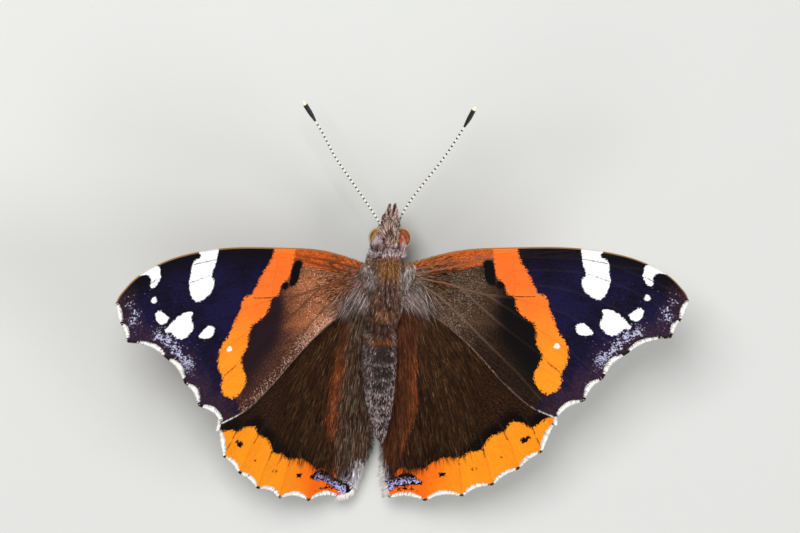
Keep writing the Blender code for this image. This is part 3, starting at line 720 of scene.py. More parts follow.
# The brown between the markings, lighter and warmer towards the wing's root
def brownScales(start, colours, hind, scales):
    root = attribute(start, "root")
    tone = scales.strands * 0.5 + scales.grain * 0.35 + scales.pickTwo * 0.15
    ground = tone.ramp(0.3, 0.75).blend(colours["deep"], colours["brown"])
    warmth = (scales.broad - 0.5) * 0.8 + root * 1.6 + (scales.strands - 0.5) * 0.6
    ground = warmth.ramp(0.1, 0.9).blend(ground, colours["warm"])
    flecky = scales.fleck + root * 0.55
    if not hind:
        flecky = flecky + attribute(start, "trail") * colours["trailing"]
    ground = (flecky.ramp(1.14, 1.22) * 0.75).blend(ground, colours["fleck"])
    shade = (scales.grain.ramp(0.34, 0.68) * 1.4 + scales.fleck * 0.6 + 0.1) * (
        root.ramp(0.0, 0.35) * 0.25 + 0.77)
    return start.node("ShaderNodeHueSaturation", None, {"Color": ground, "Value": shade})


# A forewing's blue-black outer half, the black inside its band and the paler rim
def nightScales(start, colours, ground, scales):
    outer = (attribute(start, "outer") + scales.ragged).ramp(-0.2, 0.3)
    depth = attribute(start, "costa").ramp(0.3, 3.6) * 0.8 + 0.1
    night = scales.broad * 0.45 + scales.strands * 0.4 + scales.pickTwo * 0.25
    night = ((night + scales.grain * 0.1).ramp(0.36, 0.8) * depth).blend(colours["black"],
                                                                         colours["blue"])
    ground = outer.blend(ground, night)
    velvet = (attribute(start, "velvet") + (scales.strands - 0.5) * 3.0).ramp(-1.2, 1.1)
    ground = velvet.blend(ground, colours["velvet"])
    rim = (attribute(start, "margin") * -1.0 + (scales.soft - 0.5) * 2.0).ramp(-3.0, -0.6)
    rim = rim * (scales.grain.ramp(0.35, 0.65) * 0.7 + scales.pickThree * 0.3)
    return rim.blend(ground, colours["rim"]), outer, velvet


def wingGround(start, colours, hind, scales):
    ground = brownScales(start, colours, hind, scales)
    veinDark = (attribute(start, "vein") + (scales.pick - 0.5) * 0.08).ramp(0.2, 0.06) * 0.65
    if hind:
        dark = (attribute(start, "band") + scales.ragged).ramp(-2.0, -0.5)
        ground = dark.blend(ground, colours["black"])
    else:
        ground, outer, velvet = nightScales(start, colours, ground, scales)
        veinDark = veinDark * (1.0 - outer * 0.8) * (1.0 - velvet * 0.8)
        veinDark = veinDark * (attribute(start, "root") * 1.3 + 0.25)
    margin = attribute(start, "margin")
    sprinkle = attribute(start, "outer").ramp(1.5, 5.0) * margin.ramp(8.0, 1.0) * 0.1
    speck = scales.pickThree * 0.7 + scales.fleck * 0.3 + attribute(start, "dust") * 0.5
    ground = ((speck + sprinkle).ramp(0.98, 1.12) * 0.8).blend(ground, colours["dust"])
    if hind:
        glint = (scales.pickTwo - 0.03).ramp(0.93, 0.97) * 0.2
        ground = glint.blend(ground, colours["glint"])
    rust = attribute(start, "rust") + (scales.strands - 0.5) * 0.5 + (scales.grain - 0.5) * 0.5
    rusty = (scales.grain * 0.6 + scales.pickTwo * 0.4).ramp(0.3, 0.7).blend(
        colours["rustDark"], colours["rust"])
    ground = rust.ramp(0.15, 0.7).blend(ground, rusty)
    if hind:
        # Painted highlight along the hindwing's fold, then the painted shadow line beside the
        # crease
        fold = (attribute(start, "fold") * (scales.strands + 0.5)).atMost(0.9)
        ground = fold.blend(ground, colours["fold"])
        ground = attribute(start, "crease").blend(ground, colours["black"])
        pale = (scales.fleck * 0.6 + scales.grain * 0.6).ramp(0.45, 0.75)
        ground = (attribute(start, "corner") * pale).blend(ground, colours["corner"])
    return veinDark.blend(ground, colours["vein"])


def wingBand(start, colours, scales):
    glow = attribute(start, "glow") + (scales.broad - 0.5) * 0.5 + (scales.pickTwo - 0.5) * 0.25
    band = glow.ramp(0.05, 0.95).blend(colours["bandDeep"], colours["bandLight"])
    band = (attribute(start, "vein").ramp(0.16, 0.04) * 0.3).blend(band, colours["bandVein"])
    streaky = scales.strands * 0.55 + scales.grain * 0.25 + scales.pickTwo * 0.2
    return (streaky.ramp(0.36, 0.72) * 0.45).blend(band, colours["bandVein"])


def wingMaterial(name, colours, hind):
    made, start, shader = startMaterial(name, {"Specular IOR Level": 0.05})
    scales = WingScales(start)
    line = (attribute(start, "line") + (scales.pick - 0.5) * 0.07).ramp(0.075, 0.035)
    band = (line * 0.85).blend(wingBand(start, colours, scales), colours["black"])
    inBand = (attribute(start, "band") + scales.ragged).ramp(-0.03, 0.03)
    colour = inBand.blend(wingGround(start, colours, hind, scales), band)
    inBlack = (attribute(start, "black") + scales.ragged * 0.6).ramp(-0.03, 0.03)
    colour = inBlack.blend(colour, colours["black"])
    inWhite = (attribute(start, "white") + scales.ragged * (1.3 if hind else 0.5)).ramp(-0.03, 0.03)
    if hind:
        white = (scales.pickThree * 0.5 + scales.fleck * 0.5).ramp(0.34, 0.56).blend(
            colours["black"], colours["white"])
    else:
        white = (line * 0.8).blend(colours["white"], colours["black"])
    colour = inWhite.blend(colour, white)
    if not hind:
        edging = attribute(start, "costa").ramp(0.16, 0.07) * (1.0 - inWhite * 0.6)
        colour = (edging * 0.8).blend(colour, colours["costa"])
    connect(start, colour, shader, "Base Color")
    rough = inWhite * 0.15 + inBand * 0.1 + scales.pickTwo * 0.12 + 0.52
    connect(start, rough, shader, "Roughness")
    relief = scales.edge.ramp(0.0, 0.28) * 0.6 + scales.strands * 0.8 + scales.pick * 0.3
    bump(start, shader, relief, 0.35, 0.00006)
    return made


foreColours = {
    "black": linear(12, 8, 10), "blue": linear(27, 23, 64), "rim": linear(66, 42, 52),
    "dust": linear(206, 206, 236), "rust": linear(228, 106, 38),
    "rustDark": linear(140, 60, 22), "bandDeep": linear(255, 118, 46),
    "bandLight": linear(255, 158, 34), "bandVein": linear(224, 90, 24),
    "white": linear(252, 252, 254), "costa": linear(168, 124, 76),
}
# The two forewings' own colours as lit and shaded copies: the left wing painted lighter and warmer,
# the right one darker, as painted light and shade
foreSidesPaintedLight = {
    "Right": {"deep": linear(24, 15, 10), "brown": linear(56, 38, 26), "warm": linear(76, 56, 41),
              "fleck": linear(140, 130, 122), "vein": linear(116, 92, 76),
              "velvet": linear(14, 10, 11), "trailing": 0.05},
    "Left": {"deep": linear(54, 31, 25), "brown": linear(106, 67, 55), "warm": linear(156, 94, 58),
             "fleck": linear(206, 170, 150), "vein": linear(46, 30, 24),
             "velvet": linear(36, 22, 27), "trailing": 0.34},
}
hindColours = {
    "deep": linear(24, 13, 7), "brown": linear(66, 40, 22), "warm": linear(66, 42, 26),
    "black": linear(12, 6, 4), "fleck": linear(112, 86, 64),
    "dust": linear(150, 150, 200), "glint": linear(110, 80, 54), "rust": linear(110, 62, 38),
    "rustDark": linear(64, 32, 18), "vein": linear(40, 26, 18), "bandDeep": linear(246, 106, 20),
    "bandLight": linear(255, 154, 28), "bandVein": linear(232, 104, 22),
    # fold is the colour of the painted highlight along the crease
    "white": linear(204, 194, 250), "fold": linear(158, 88, 48), "corner": linear(214, 206, 222),
}


# The underside is marbled in browns and greys, with the band and spots showing through
def underMaterial(name, hind):
    made, start, shader = startMaterial(name, {"Roughness": 0.66, "Specular IOR Level": 0.08})
    place = start.node("ShaderNodeUVMap", {"uv_map": "scaleMap"})
    rows = stretched(start, place, 9.0, 4.6)
    pick = start.node("ShaderNodeSeparateColor", None, {0: scaleCells(start, rows)})
    marble = noise(start, place, 0.7, 5.0, 0.62, True, 1.6)
    waves = start.node("ShaderNodeTexWave", {"bands_direction": "Y"},
                       {"Vector": place, "Scale": 0.16, "Distortion": 7.0, "Detail": 3.0,
                        "Detail Scale": 1.3}, 1)
    tone = marble * 0.7 + waves * 0.3 + (pick - 0.5) * 0.12
    stops = [(0.22, linear(22, 16, 16)), (0.4, linear(64, 46, 38)), (0.55, linear(112, 88, 72)),
             (0.7, linear(160, 140, 124)), (0.85, linear(196, 184, 176))]
    colour = start.node("ShaderNodeValToRGB", {"stops": stops}, {"Fac": tone})
    ragged = (pick - 0.5) * 0.5 + (marble - 0.5) * 0.8
    vein = attribute(start, "vein")
    if hind:
        ring = attribute(start, "eyes") + ragged * 0.5
        colour = ring.ramp(-0.1, 0.1).blend(colour, linear(30, 22, 20))
        colour = ring.ramp(0.35, 0.5).blend(colour, linear(84, 108, 128))
        colour = ring.ramp(0.75, 0.9).blend(colour, linear(34, 26, 24))
        pale = (attribute(start, "palePatch") + ragged).ramp(-0.2, 0.4)
        colour = pale.blend(colour, linear(206, 190, 150))
    else:
        cell = attribute(start, "outer").ramp(0.4, -0.6) * 0.7
        colour = cell.blend(colour, linear(34, 22, 22))
        band = (attribute(start, "band") + ragged).ramp(-0.1, 0.1)
        colour = band.blend(colour, linear(206, 74, 48))
        white = (attribute(start, "white") + ragged * 0.6).ramp(-0.1, 0.1)
        colour = white.blend(colour, linear(232, 228, 226))
        blue = (attribute(start, "blueArc") + ragged).ramp(-0.1, 0.15)
        colour = blue.blend(colour, linear(70, 96, 168))
    colour = ((vein + (pick - 0.5) * 0.1).ramp(0.24, 0.06) * 0.45).blend(colour,
                                                                        linear(96, 76, 62))
    connect(start, colour, shader, "Base Color")
    bump(start, shader, marble * 0.5 + pick * 0.5, 0.3, 0.00005)
    return made


underMarks = {
    "eyes": [((16.2, -13.0), 0.9), ((13.9, -16.4), 0.85), ((11.0, -18.4), 0.85),
             ((8.0, -19.6), 0.8)],
    "palePatch": [(12.6, -4.2), (14.6, -5.4), (16.2, -7.6), (14.8, -8.0), (13.0, -6.6)],
    "blueArc": [(10.0, 4.3), (10.6, 4.3), (10.9, 2.6), (10.6, 1.2), (10.1, 1.2), (10.3, 2.6)],
}


# Faces of the upper side, then of the underside, then of the wall that joins them
def shellFaces(triangles, under, sign):
    used = {}
    faces = []
    for face in triangles:
        face = list(face)[::sign]
        faces.append(face)
        used.update(dict.fromkeys(zip(face, face[1:] + face[:1])))
    faces += [[under + index for index in reversed(face)] for face in faces]
    return faces + [[stop, start, under + start, under + stop] for start, stop in used
                    if (stop, start) not in used]


def makeWing(side, hind):
    sign = sideSign[side]
    kind = "hindwing" if hind else "forewing"
    outline = wingOutline(hind, side)
    plan, triangles = wingPlan(outline, hind)
    middle, apart, along = wingHeight(plan, hind, side)
    edge = marginDistance(plan, hind)
    ridge = wing["veinRise"] * (1 - 0.6 * along) * np.clip(1 - apart / wing["veinHalf"], 0, 1)
    half = wing["thickness"] / 2 * (0.7 + 0.3 * np.clip(edge / 3, 0, 1)) + ridge
    flat = np.stack([sign * plan[:, 0], plan[:, 1]], axis=1)
    top = np.column_stack([flat, middle + half])
    bottom = np.column_stack([flat, middle - half])
    faces = shellFaces(triangles, len(plan), sign)
    topCount = len(triangles)
    # A forewing's side colours carry the painted light and shade of that side
    colours = hindColours if hind else {**foreColours, **foreSidesPaintedLight[side]}
    materials = [wingMaterial(kind + "Scales" + side, colours, hind),
                 underMaterial(kind + "Underside" + side, hind)]
    piece = pieceFromArrays(kind + side, toFrame(np.vstack([top, bottom])), faces, materials)
    slots = np.zeros(len(faces), dtype=np.int32)
    slots[topCount:2 * topCount] = 1
    piece.data.polygons.foreach_set("material_index", slots)
    marks = hindUpper(plan, side) if hind else foreUpper(plan)
    marks["vein"] = apart
    marks["margin"] = edge
    marks["costa"], _ = routeDistance(plan, costaLine(hind, wing["outline"]))
    marks["root"] = np.clip(1 - np.linalg.norm(plan - wing["base"], axis=1) / 14, 0, 1)
    if hind:
        marks["eyes"] = depthInSpots(plan, underMarks["eyes"])
        marks["palePatch"] = depthIn(plan, underMarks["palePatch"])
    else:
        marks["blueArc"] = depthIn(plan, underMarks["blueArc"])
    for name, levels in marks.items():
        giveAttribute(piece, name, np.concatenate([levels, levels]))
    giveMap(piece, "scaleMap", np.vstack([scalePlaces(plan)] * 2))
    giveWingMap(piece, plan, 3 * 2 * topCount, hind)
    piece.data.shade_smooth()
    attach(piece, "root")
    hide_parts(kind + "_" + side.lower())
    print(piece.name, len(faces), "faces")


for side in sideSign:
    makeWing(side, False)
    makeWing(side, True)


# Body, drawn along Y from its cross sections: y, half width, height above and depth below
body = {"thoraxAxis": -0.9, "headAxis": -0.45, "headShift": 0.2, "abdomenBend": 1.05,
        "rings": 8, "sides": 40, "voxel": 0.1, "thoraxCoat": 0.42, "abdomenCoat": 0.16,
        "headCoat": 0.24, "palpCoat": 0.14, "lean": 0.26, "leanAt": 6.1, "leanLength": 0.8}
thoraxSections = [(-4.6, 1.55, 1.5, 1.6), (-4.0, 2.0, 1.9, 2.15), (-2.8, 2.45, 2.2, 2.75),
                  (-1.0, 2.8, 2.5, 3.05), (1.2, 2.85, 2.6, 3.0), (2.8, 2.55, 2.3, 2.7),
                  (3.9, 2.3, 1.95, 2.3), (4.6, 2.15, 1.75, 2.0), (5.05, 1.85, 1.5, 1.65)]
abdomenSections = [(-4.9, 1.5, 1.45, 1.5), (-5.8, 1.95, 1.8, 1.85), (-7.65, 2.12, 1.95, 2.0),
                   (-10.0, 2.05, 1.9, 1.95), (-12.5, 1.8, 1.65, 1.7), (-15.0, 1.35, 1.25, 1.25),
                   (-16.8, 0.95, 0.85, 0.85), (-17.8, 0.6, 0.5, 0.5), (-18.2, 0.32, 0.25, 0.25)]
headSections = [(5.35, 1.45, 1.3, 1.4), (6.2, 1.7, 1.6, 1.7), (7.0, 1.6, 1.5, 1.75),
                (7.6, 1.3, 1.2, 1.55), (8.05, 0.95, 0.85, 1.2), (8.3, 0.5, 0.45, 0.7)]
neckSections = [(4.4, 1.5, 1.25, 1.35), (5.1, 1.2, 1.15, 1.2), (5.6, 1.0, 1.05, 1.1),
                (6.0, 0.95, 0.95, 1.0)]
waistSections = [(-3.6, 1.3, 1.2, 1.35), (-4.8, 1.15, 1.05, 1.1), (-6.2, 1.4, 1.3, 1.35)]
# The eye's lean points towards the key light, for its painted shade and highlight; the two warm
# colours are one eye colour painted as each eye is lit
eye = {"place": (1.45, 6.2, -0.4), "radii": (1.0, 1.15, 1.3), "lightLean": (-0.28, 0.22, 0.72),
       "colours": {"Right": (184, 92, 52), "Left": (180, 120, 56)}}
lumps = {
    "tegula": ((2.45, 2.0, 0.55), (0.8, 1.6, 0.75), -0.25, (1, -1)),
    "collar": ((0.72, 4.1, 0.45), (0.85, 0.5, 0.6), -0.35, (1, -1)),
    "collarSide": ((1.35, 4.5, 0.05), (0.75, 0.62, 0.8), -0.2, (1, -1)),
    "scutellum": ((0.0, -2.7, 0.95), (1.3, 0.95, 0.65), 0.0, (1,)),
    "foreCoxa": ((0.85, 3.2, -3.0), (0.55, 0.75, 0.85), 0.0, (1, -1)),
    "midCoxa": ((1.05, 0.8, -3.7), (0.55, 0.75, 0.85), 0.0, (1, -1)),
    "hindCoxa": ((1.05, -2.0, -3.6), (0.55, 0.75, 0.85), 0.0, (1, -1)),
}
lumpCoat = 0.2
palpRoute = [(0.62, 7.0, -1.6), (0.5, 8.3, -1.2), (0.37, 9.1, -0.7), (0.28, 10.0, -0.45)]
palpBow = (0.05, 0.14, 0.14, 0.02)
palpRadii = [0.42, 0.47, 0.41, 0.25]


def abdomenMiddle(y):
    start, stop = abdomenSections[0][0], abdomenSections[-1][0]
    share = np.clip((start - np.asarray(y, dtype=float)) / (start - stop), 0, None)
    return body["abdomenBend"] * share ** 1.5


# Segments from the waist back: the fraction is the way from a front edge to a hind edge
def segmentShare(y):
    start, stop = abdomenSections[0][0], abdomenSections[-1][0]
    share = np.clip((y - start) / (stop - start), 0, 0.999)
    return (1 - (1 - share) ** (1 / 1.12)) * body["rings"]


# The dark middle of each segment, narrower towards the abdomen's end
def segmentCore(away, y, half):
    across = away / (half - 0.03 * (-y - 8))
    return np.exp(-((segmentShare(y) % 1.0 - 0.4) / 0.25) ** 2 - across ** 4)


def sectionRings(sections, axis, coat, middle, step):
    table = np.array(sorted(sections))
    ys = np.arange(table[0, 0], table[-1, 0], step)
    smooth = smoothCurve(table, 0.1)
    turn = 2 * math.pi * np.arange(body["sides"]) / body["sides"]
    rings = []
    for y in ys:
        half, above, below = [np.interp(y, smooth[:, 0], smooth[:, k]) - coat for k in (1, 2, 3)]
        height = np.where(np.sin(turn) > 0, above, below) * np.sin(turn)
        centre = middle(y)
        rings.append(np.stack([centre + half * np.cos(turn), np.full(len(turn), y),
                               axis + height], axis=1))
    return np.array(rings)[::-1]


def abdomenRings():
    rings = sectionRings(abdomenSections, body["thoraxAxis"], body["abdomenCoat"],
                         abdomenMiddle, 0.05)
    for ring in rings:
        share = segmentShare(ring[0, 1]) % 1.0
        swell = 0.965 + 0.055 * min(share / 0.85, 1.0) ** 0.7 - 0.03 * max(share - 0.88, 0) / 0.12
        centre = np.array([abdomenMiddle(ring[0, 1]), ring[0, 1], body["thoraxAxis"]])
        ring[:] = centre + (ring - centre) * np.array([swell, 1.0, swell])
    return rings


def addLump(name, place, radii, tilt, sign):
    bpy.ops.object.select_all(action="DESELECT")
    bpy.ops.mesh.primitive_ico_sphere_add(subdivisions=5, radius=1.0)
    lump = bpy.context.object
    lump.name = name
    lump.scale = [(radius - lumpCoat) * mm for radius in radii]
    lump.rotation_euler = (0, 0, tilt * sign)
    lump.location = toFrame((sign * place[0], place[1], place[2]))
    bpy.ops.object.transform_apply(location=True, rotation=True, scale=True)
    return lump


def applyAll(piece):
    bpy.ops.object.select_all(action="DESELECT")
    piece.select_set(True)
    bpy.context.view_layer.objects.active = piece
    for modifier in list(piece.modifiers):
        bpy.ops.object.modifier_apply(modifier=modifier.name)


def meshPoints(piece):
    points = np.zeros(3 * len(piece.data.vertices), dtype=np.float32)
    piece.data.vertices.foreach_get("co", points)
    return points.reshape(-1, 3) / mm - origin


# Colours of the coat over the body, the same for the skin and for the hairs on it
coatColours = {
    "back": linear(112, 80, 68), "middle": linear(92, 64, 60), "front": linear(146, 102, 62),
    "gold": linear(136, 98, 70), "side": linear(150, 126, 114), "belly": linear(158, 142, 124),
    "rust": linear(140, 82, 40), "abdomen": linear(66, 54, 52), "ring": linear(128, 112, 108),
    "flank": linear(108, 90, 86), "head": linear(112, 82, 74), "face": linear(124, 94, 84),
    "palpUnder": linear(196, 184, 168), "collar": linear(136, 104, 100),
    "core": linear(42, 34, 34), "shoulder": linear(156, 152, 148),
    "plate": linear(160, 112, 74), "rear": linear(132, 124, 114),
    "lobe": linear(166, 138, 146),
}


def mixShade(colours, name, share):
    share = np.clip(share, 0, 1)[:, None]
    return colours * (1 - share) + np.array(coatColours[name][:3]) * share


def bodyColour(points):
    x, y, z = points.T
    colours = np.tile(np.array(coatColours["back"][:3]), (len(points), 1))
    aside = np.abs(x)
    colours = mixShade(colours, "middle", np.exp(-(x / 0.7) ** 2) * 0.7)
    colours = mixShade(colours, "gold", np.exp(-((aside - 1.2) / 0.4) ** 2) * 0.35)
    colours = mixShade(colours, "front", softStep(y, 1.0, 2.6) * np.exp(-(x / 1.6) ** 4))
    colours = mixShade(colours, "side", softStep(aside, 1.5, 2.1) * 0.95)
    plate = np.abs(x + 0.3) / 1.3 + np.abs(y + 2.25) / 1.35
    colours = mixShade(colours, "plate", (1 - softStep(plate, 0.5, 1.0)) * 0.55)
    colours = mixShade(colours, "core", np.exp(-((plate - 1.05) / 0.1) ** 2) * 0.6)
    shoulder = np.exp(-((aside - 1.75) / 0.5) ** 2 - ((y - 1.8) / 1.6) ** 2)
    colours = mixShade(colours, "shoulder", shoulder * 0.7)
    colours = mixShade(colours, "rear", softStep(-y, 3.4, 4.0) * softStep(aside, 0.9, 1.5) * 0.8)
    colours = mixShade(colours, "collar", softStep(y, 3.9, 4.4))
    colours = mixShade(colours, "belly", softStep(-z, 1.4, 2.6))
    middle = abdomenMiddle(y)
    behind = softStep(-y, 4.6, 5.4)
    abdomen = mixShade(colours, "abdomen", np.ones(len(x)))
    share = segmentShare(y) % 1.0
    hindEdge = softStep(share, 0.7, 0.9) * softStep(-y, 7.2, 8.5)
    abdomen = mixShade(abdomen, "ring", hindEdge * 0.4)
    abdomen = mixShade(abdomen, "flank", softStep(np.abs(x - middle), 1.1, 1.9) * 0.75)
    abdomen = mixShade(abdomen, "core", segmentCore(x - middle, y, 0.75) * 0.55)
    abdomen = mixShade(abdomen, "belly", softStep(-z - 0.9, 0.4, 1.4) * 0.9)
    abdomen = mixShade(abdomen, "rust",
                       np.exp(-((y + 5.6) / 0.45) ** 2) * softStep(z, -1.6, -0.4) * 0.9)
    colours = colours * (1 - behind[:, None]) + abdomen * behind[:, None]
    ahead = softStep(y, 5.1, 5.5)
    head = mixShade(colours, "head", np.ones(len(x)))
    head = mixShade(head, "face", softStep(y, 6.4, 7.4))
    head = mixShade(head, "palpUnder", softStep(-z - 0.08 * (y - 7), 1.2, 2.0))
    return colours * (1 - ahead[:, None]) + head * ahead[:, None]


# Unwrap of the body: round it across the map, and along it up the map
def bodyPlaces(points):
    x, y, z = points.T
    middle = np.where(y > 4.8, body["headShift"], abdomenMiddle(y))
    turn = np.arctan2(x - middle, z + 0.8) / (2 * math.pi) + 0.5
    return np.stack([0.02 + 0.96 * turn, 0.02 + 0.96 * (y + 19) / 30], axis=1)


def coatMaterial(name, variation, paleTips=0.0):
    made, start, shader = startMaterial(name, {"Specular IOR Level": 0.08})
    shade = start.node("ShaderNodeAttribute", {"attribute_name": "coatColour"})
    mottle = noise(start, objectPlace(start), 2600.0, 3.0, 0.6)
    tip = attribute(start, "tip")
    light = start.node("ShaderNodeHueSaturation", None, {"Color": shade, "Value": 1.25})
    dark = start.node("ShaderNodeHueSaturation", None, {"Color": shade, "Value": 0.5})
    colour = (mottle * 0.5 + tip * variation + 0.1).ramp(0.0, 0.8).blend(dark, light)
    if paleTips:
        colour = (tip.ramp(0.62, 0.95) * paleTips).blend(colour, linear(250, 240, 244))
    connect(start, colour, shader, "Base Color")
    connect(start, mottle * 0.3 + 0.42, shader, "Roughness")
    bump(start, shader, mottle, 0.4, 0.00004)
    return made


def straight(y):
    return 0.0


# The head lies a little aside of the thorax, least between the eyes
def headMiddle(y):
    away = (y - body["leanAt"]) / body["leanLength"]
    return body["headShift"] - body["lean"] * math.exp(-away ** 2)


def makeSkin():
    shapes = [ringShape(sectionRings(thoraxSections, body["thoraxAxis"], body["thoraxCoat"],
                                     straight, 0.1)),
              ringShape(abdomenRings()),
              ringShape(sectionRings(headSections, body["headAxis"], body["headCoat"],
                                     headMiddle, 0.1)),
              ringShape(sectionRings(neckSections, -0.65, 0.1, headMiddle, 0.1)),
              ringShape(sectionRings(waistSections, body["thoraxAxis"], 0.1, straight, 0.1))]
    for sign in sideSign.values():
        route = [(sign * x + body["headShift"] + bow, y, z)
                 for (x, y, z), bow in zip(palpRoute, palpBow)]
        route = smoothCurve(route, 0.1)
        radii = np.interp(np.linspace(0, 3, len(route)), range(4), palpRadii)
        shapes.append(tubeShape(route, radii - body["palpCoat"], 24))
    made = coatMaterial("bodySkin", 0.0)
    skin = pieceFromTriangles("bodySkin", *joinShapes(shapes), made)
    added = []
    for name, (place, radii, tilt, signs) in lumps.items():
        added += [addLump(name, place, radii, tilt, sign) for sign in signs]
    bpy.ops.object.select_all(action="DESELECT")
    for lump in added:
        lump.select_set(True)
    skin.select_set(True)
    bpy.context.view_layer.objects.active = skin
    bpy.ops.object.join()
    remesh = skin.modifiers.new("remesh", "REMESH")
    remesh.mode = "VOXEL"
    remesh.voxel_size = body["voxel"] * mm
    remesh.use_smooth_shade = True
    smooth = skin.modifiers.new("smooth", "SMOOTH")
    smooth.factor = 0.5
    smooth.iterations = 2
    applyAll(skin)
    points = meshPoints(skin)
    giveColour(skin, bodyColour(points))
    giveAttribute(skin, "tip", np.full(len(points), 0.3))
    giveMap(skin, "OFBake", bodyPlaces(points))
    skin.data.materials.clear()
    skin.data.materials.append(made)
    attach(skin, "root")
    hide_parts("thorax", "abdomen", "head", "palp_right", "palp_left")
    print(skin.name, len(skin.data.polygons), "faces")
    return skin


def surfacePoints(piece, count, wanted):
    piece.data.calc_loop_triangles()
    corners = np.zeros(3 * len(piece.data.loop_triangles), dtype=np.int32)
    piece.data.loop_triangles.foreach_get("vertices", corners)
    trios = meshPoints(piece)[corners.reshape(-1, 3)]
    centres = trios.mean(axis=1)
    outwards = np.cross(trios[:, 1] - trios[:, 0], trios[:, 2] - trios[:, 0])
    sizes = np.linalg.norm(outwards, axis=1)
    weights = sizes * wanted(centres)
    chosen = draws.choice(len(trios), size=count, p=weights / weights.sum())
    first, second = draws.random((2, count))
    over = first + second > 1
    first[over], second[over] = 1 - first[over], 1 - second[over]
    trio = trios[chosen]
    points = trio[:, 0] + first[:, None] * (trio[:, 1] - trio[:, 0])
    points += second[:, None] * (trio[:, 2] - trio[:, 0])
    return points, outwards[chosen] / sizes[chosen][:, None]


# Tones of single hairs: a third dark, a quarter light and the others between
def unevenTones(count):
    tone = draws.random(count)
    return np.where(tone < 0.35, 0.2 + tone, np.where(tone < 0.75, tone + 0.4, tone * 1.9))


# Tones shared by the hairs of a strand, whose width and length are given
def strandTones(places, across, along):
    rows, columns = 97, 89
    tones = draws.random((rows, columns))
    cells = np.floor(places / [across, along] + draws.normal(0, 0.12, places.shape)).astype(int)
    return tones[cells[:, 0] % rows, cells[:, 1] % columns]


# How many hairs a coat has, how far the tones of its strands lie apart, how long and thick a
# hair is, and how far it stands out
coats = {
    "head": {"count": 12500, "spread": 1.4, "length": 0.48, "width": 0.031, "stand": 0.22,
             "from": 5.2, "to": 12.0, "slot": "body_fur", "fleck": linear(246, 216, 202)},
    "collar": {"count": 7000, "spread": 1.2, "length": 0.38, "width": 0.032, "stand": 0.32,
               "from": 4.1, "to": 5.3, "slot": "body_fur", "fleck": linear(250, 234, 238),
               "paleTips": 0.7},
    "thorax": {"count": 19000, "spread": 1.0, "length": 0.58, "width": 0.029, "stand": 0.24,
               "from": -4.7, "to": 4.25, "slot": "body_fur", "fleck": linear(226, 214, 208)},
    "abdomen": {"count": 19500, "spread": 0.8, "length": 0.3, "width": 0.031, "stand": 0.12,
                "from": -19.0, "to": -4.7, "slot": "abdomen_fur", "fleck": linear(206, 186, 186)},
}


# How far forwards the collar's two lobes reach over the eyes, as pairs of x and y
lobes = [(-2.35, 5.3), (-2.25, 5.9), (-1.75, 6.4), (-1.3, 6.55), (-0.8, 6.6), (-0.45, 5.6),
         (0.6, 5.6), (0.75, 6.1), (1.1, 6.1), (1.6, 5.9), (2.1, 5.5), (2.35, 5.1)]


# Share of pale hairs among the others
def fleckShare(name, points):
    x, y, z = points.T
    if name == "head":
        return np.full(len(x), 0.3)
    if name == "collar":
        return 0.15 + 0.3 * softStep(y, 4.6, 4.95)
    if name == "thorax":
        return 0.03 + 0.3 * softStep(np.abs(x), 1.6, 2.2) * softStep(z, -2.2, -1.2)
    aside = np.abs(x - abdomenMiddle(y))
    share = segmentShare(y) % 1.0
    stripe = np.exp(-((aside - 1.35) / 0.35) ** 2) * 0.24
    rear = softStep(-y, 10.0, 13.0) * 0.36 * (1 - 0.8 * segmentCore(aside, y, 0.7))
    edge = softStep(share, 0.8, 0.9) * softStep(-y, 7.2, 8.5) * 0.3
    return (stripe + rear + edge + 0.02) * softStep(z, -2.2, -1.2)


def outsideEyes(points):
    clear = np.ones(len(points), dtype=bool)
    for sign in sideSign.values():
        place = np.array([sign * eye["place"][0] + body["headShift"], *eye["place"][1:]])
        away = (points - place) / (np.array(eye["radii"]) + 0.03)
        clear &= np.linalg.norm(away, axis=1) > 1
    return clear


# Which way a coat's hairs lie, and where they rise into a crown
def coatLie(name, points):
    x, y, z = points.T
    lie = np.stack([0.16 * np.clip(x, -2, 2), -np.ones(len(x)), -0.12 * np.ones(len(x))], axis=1)
    crown = np.zeros(len(x))
    if name == "head":
        lie = np.tile([0.0, 1.0, 0.25], (len(x), 1))
        across = x - body["headShift"]
        crown = softStep(z, 0.1, 0.6) * softStep(y, 5.0, 5.4) * softStep(-y, -7.9, -7.3)
        crown *= across < 0.1
        lie[:, 0] -= crown * 1.2 * softStep(-across, 0.2, 0.8)
        inwards = np.where(across < -0.3, 0.5, np.where(across > 0.3, 0.05, 0.0))
        lie[:, 0] += inwards * softStep(y, 6.6, 7.6)
    if name == "collar":
        lie = np.stack([0.05 * x, np.ones(len(x)), 0.25 * np.ones(len(x))], axis=1)
        crown = softStep(y, 4.45, 4.75) * softStep(np.abs(x - body["headShift"]), 0.7, 1.0)
        crown *= softStep(z, -1.3, -0.5)
    return lie, crown


def coatLengths(name, sizes, points, crown):
    x, y, z = points.T
    lengths = sizes["length"] * (0.6 + 0.7 * draws.random(len(x)))
    if name == "head":
        lengths *= 1 - 0.35 * softStep(y, 7.0, 8.0) - 0.15 * softStep(y, 8.6, 9.6) + crown
    if name == "collar":
        room = np.interp(x * 1.12, *zip(*lobes)) - y
        reach = np.clip(room / 0.88, 0.3, 2.3) * (0.88 + 0.14 * draws.random(len(x)))
        lengths = np.where(crown > 0.3, reach, lengths)
    if name == "thorax":
        lengths *= 1 - 0.25 * softStep(y, 2.5, 4.5) + 0.5 * softStep(-z, 0.5, 2.0)
        lengths *= (1 + 1.2 * softStep(-y, 3.2, 4.0)) * (1 - 0.3 * softStep(y, 0.5, 1.5))
    if name == "abdomen":
        lengths *= 1 + softStep(y, -6.2, -5.2)
    return lengths


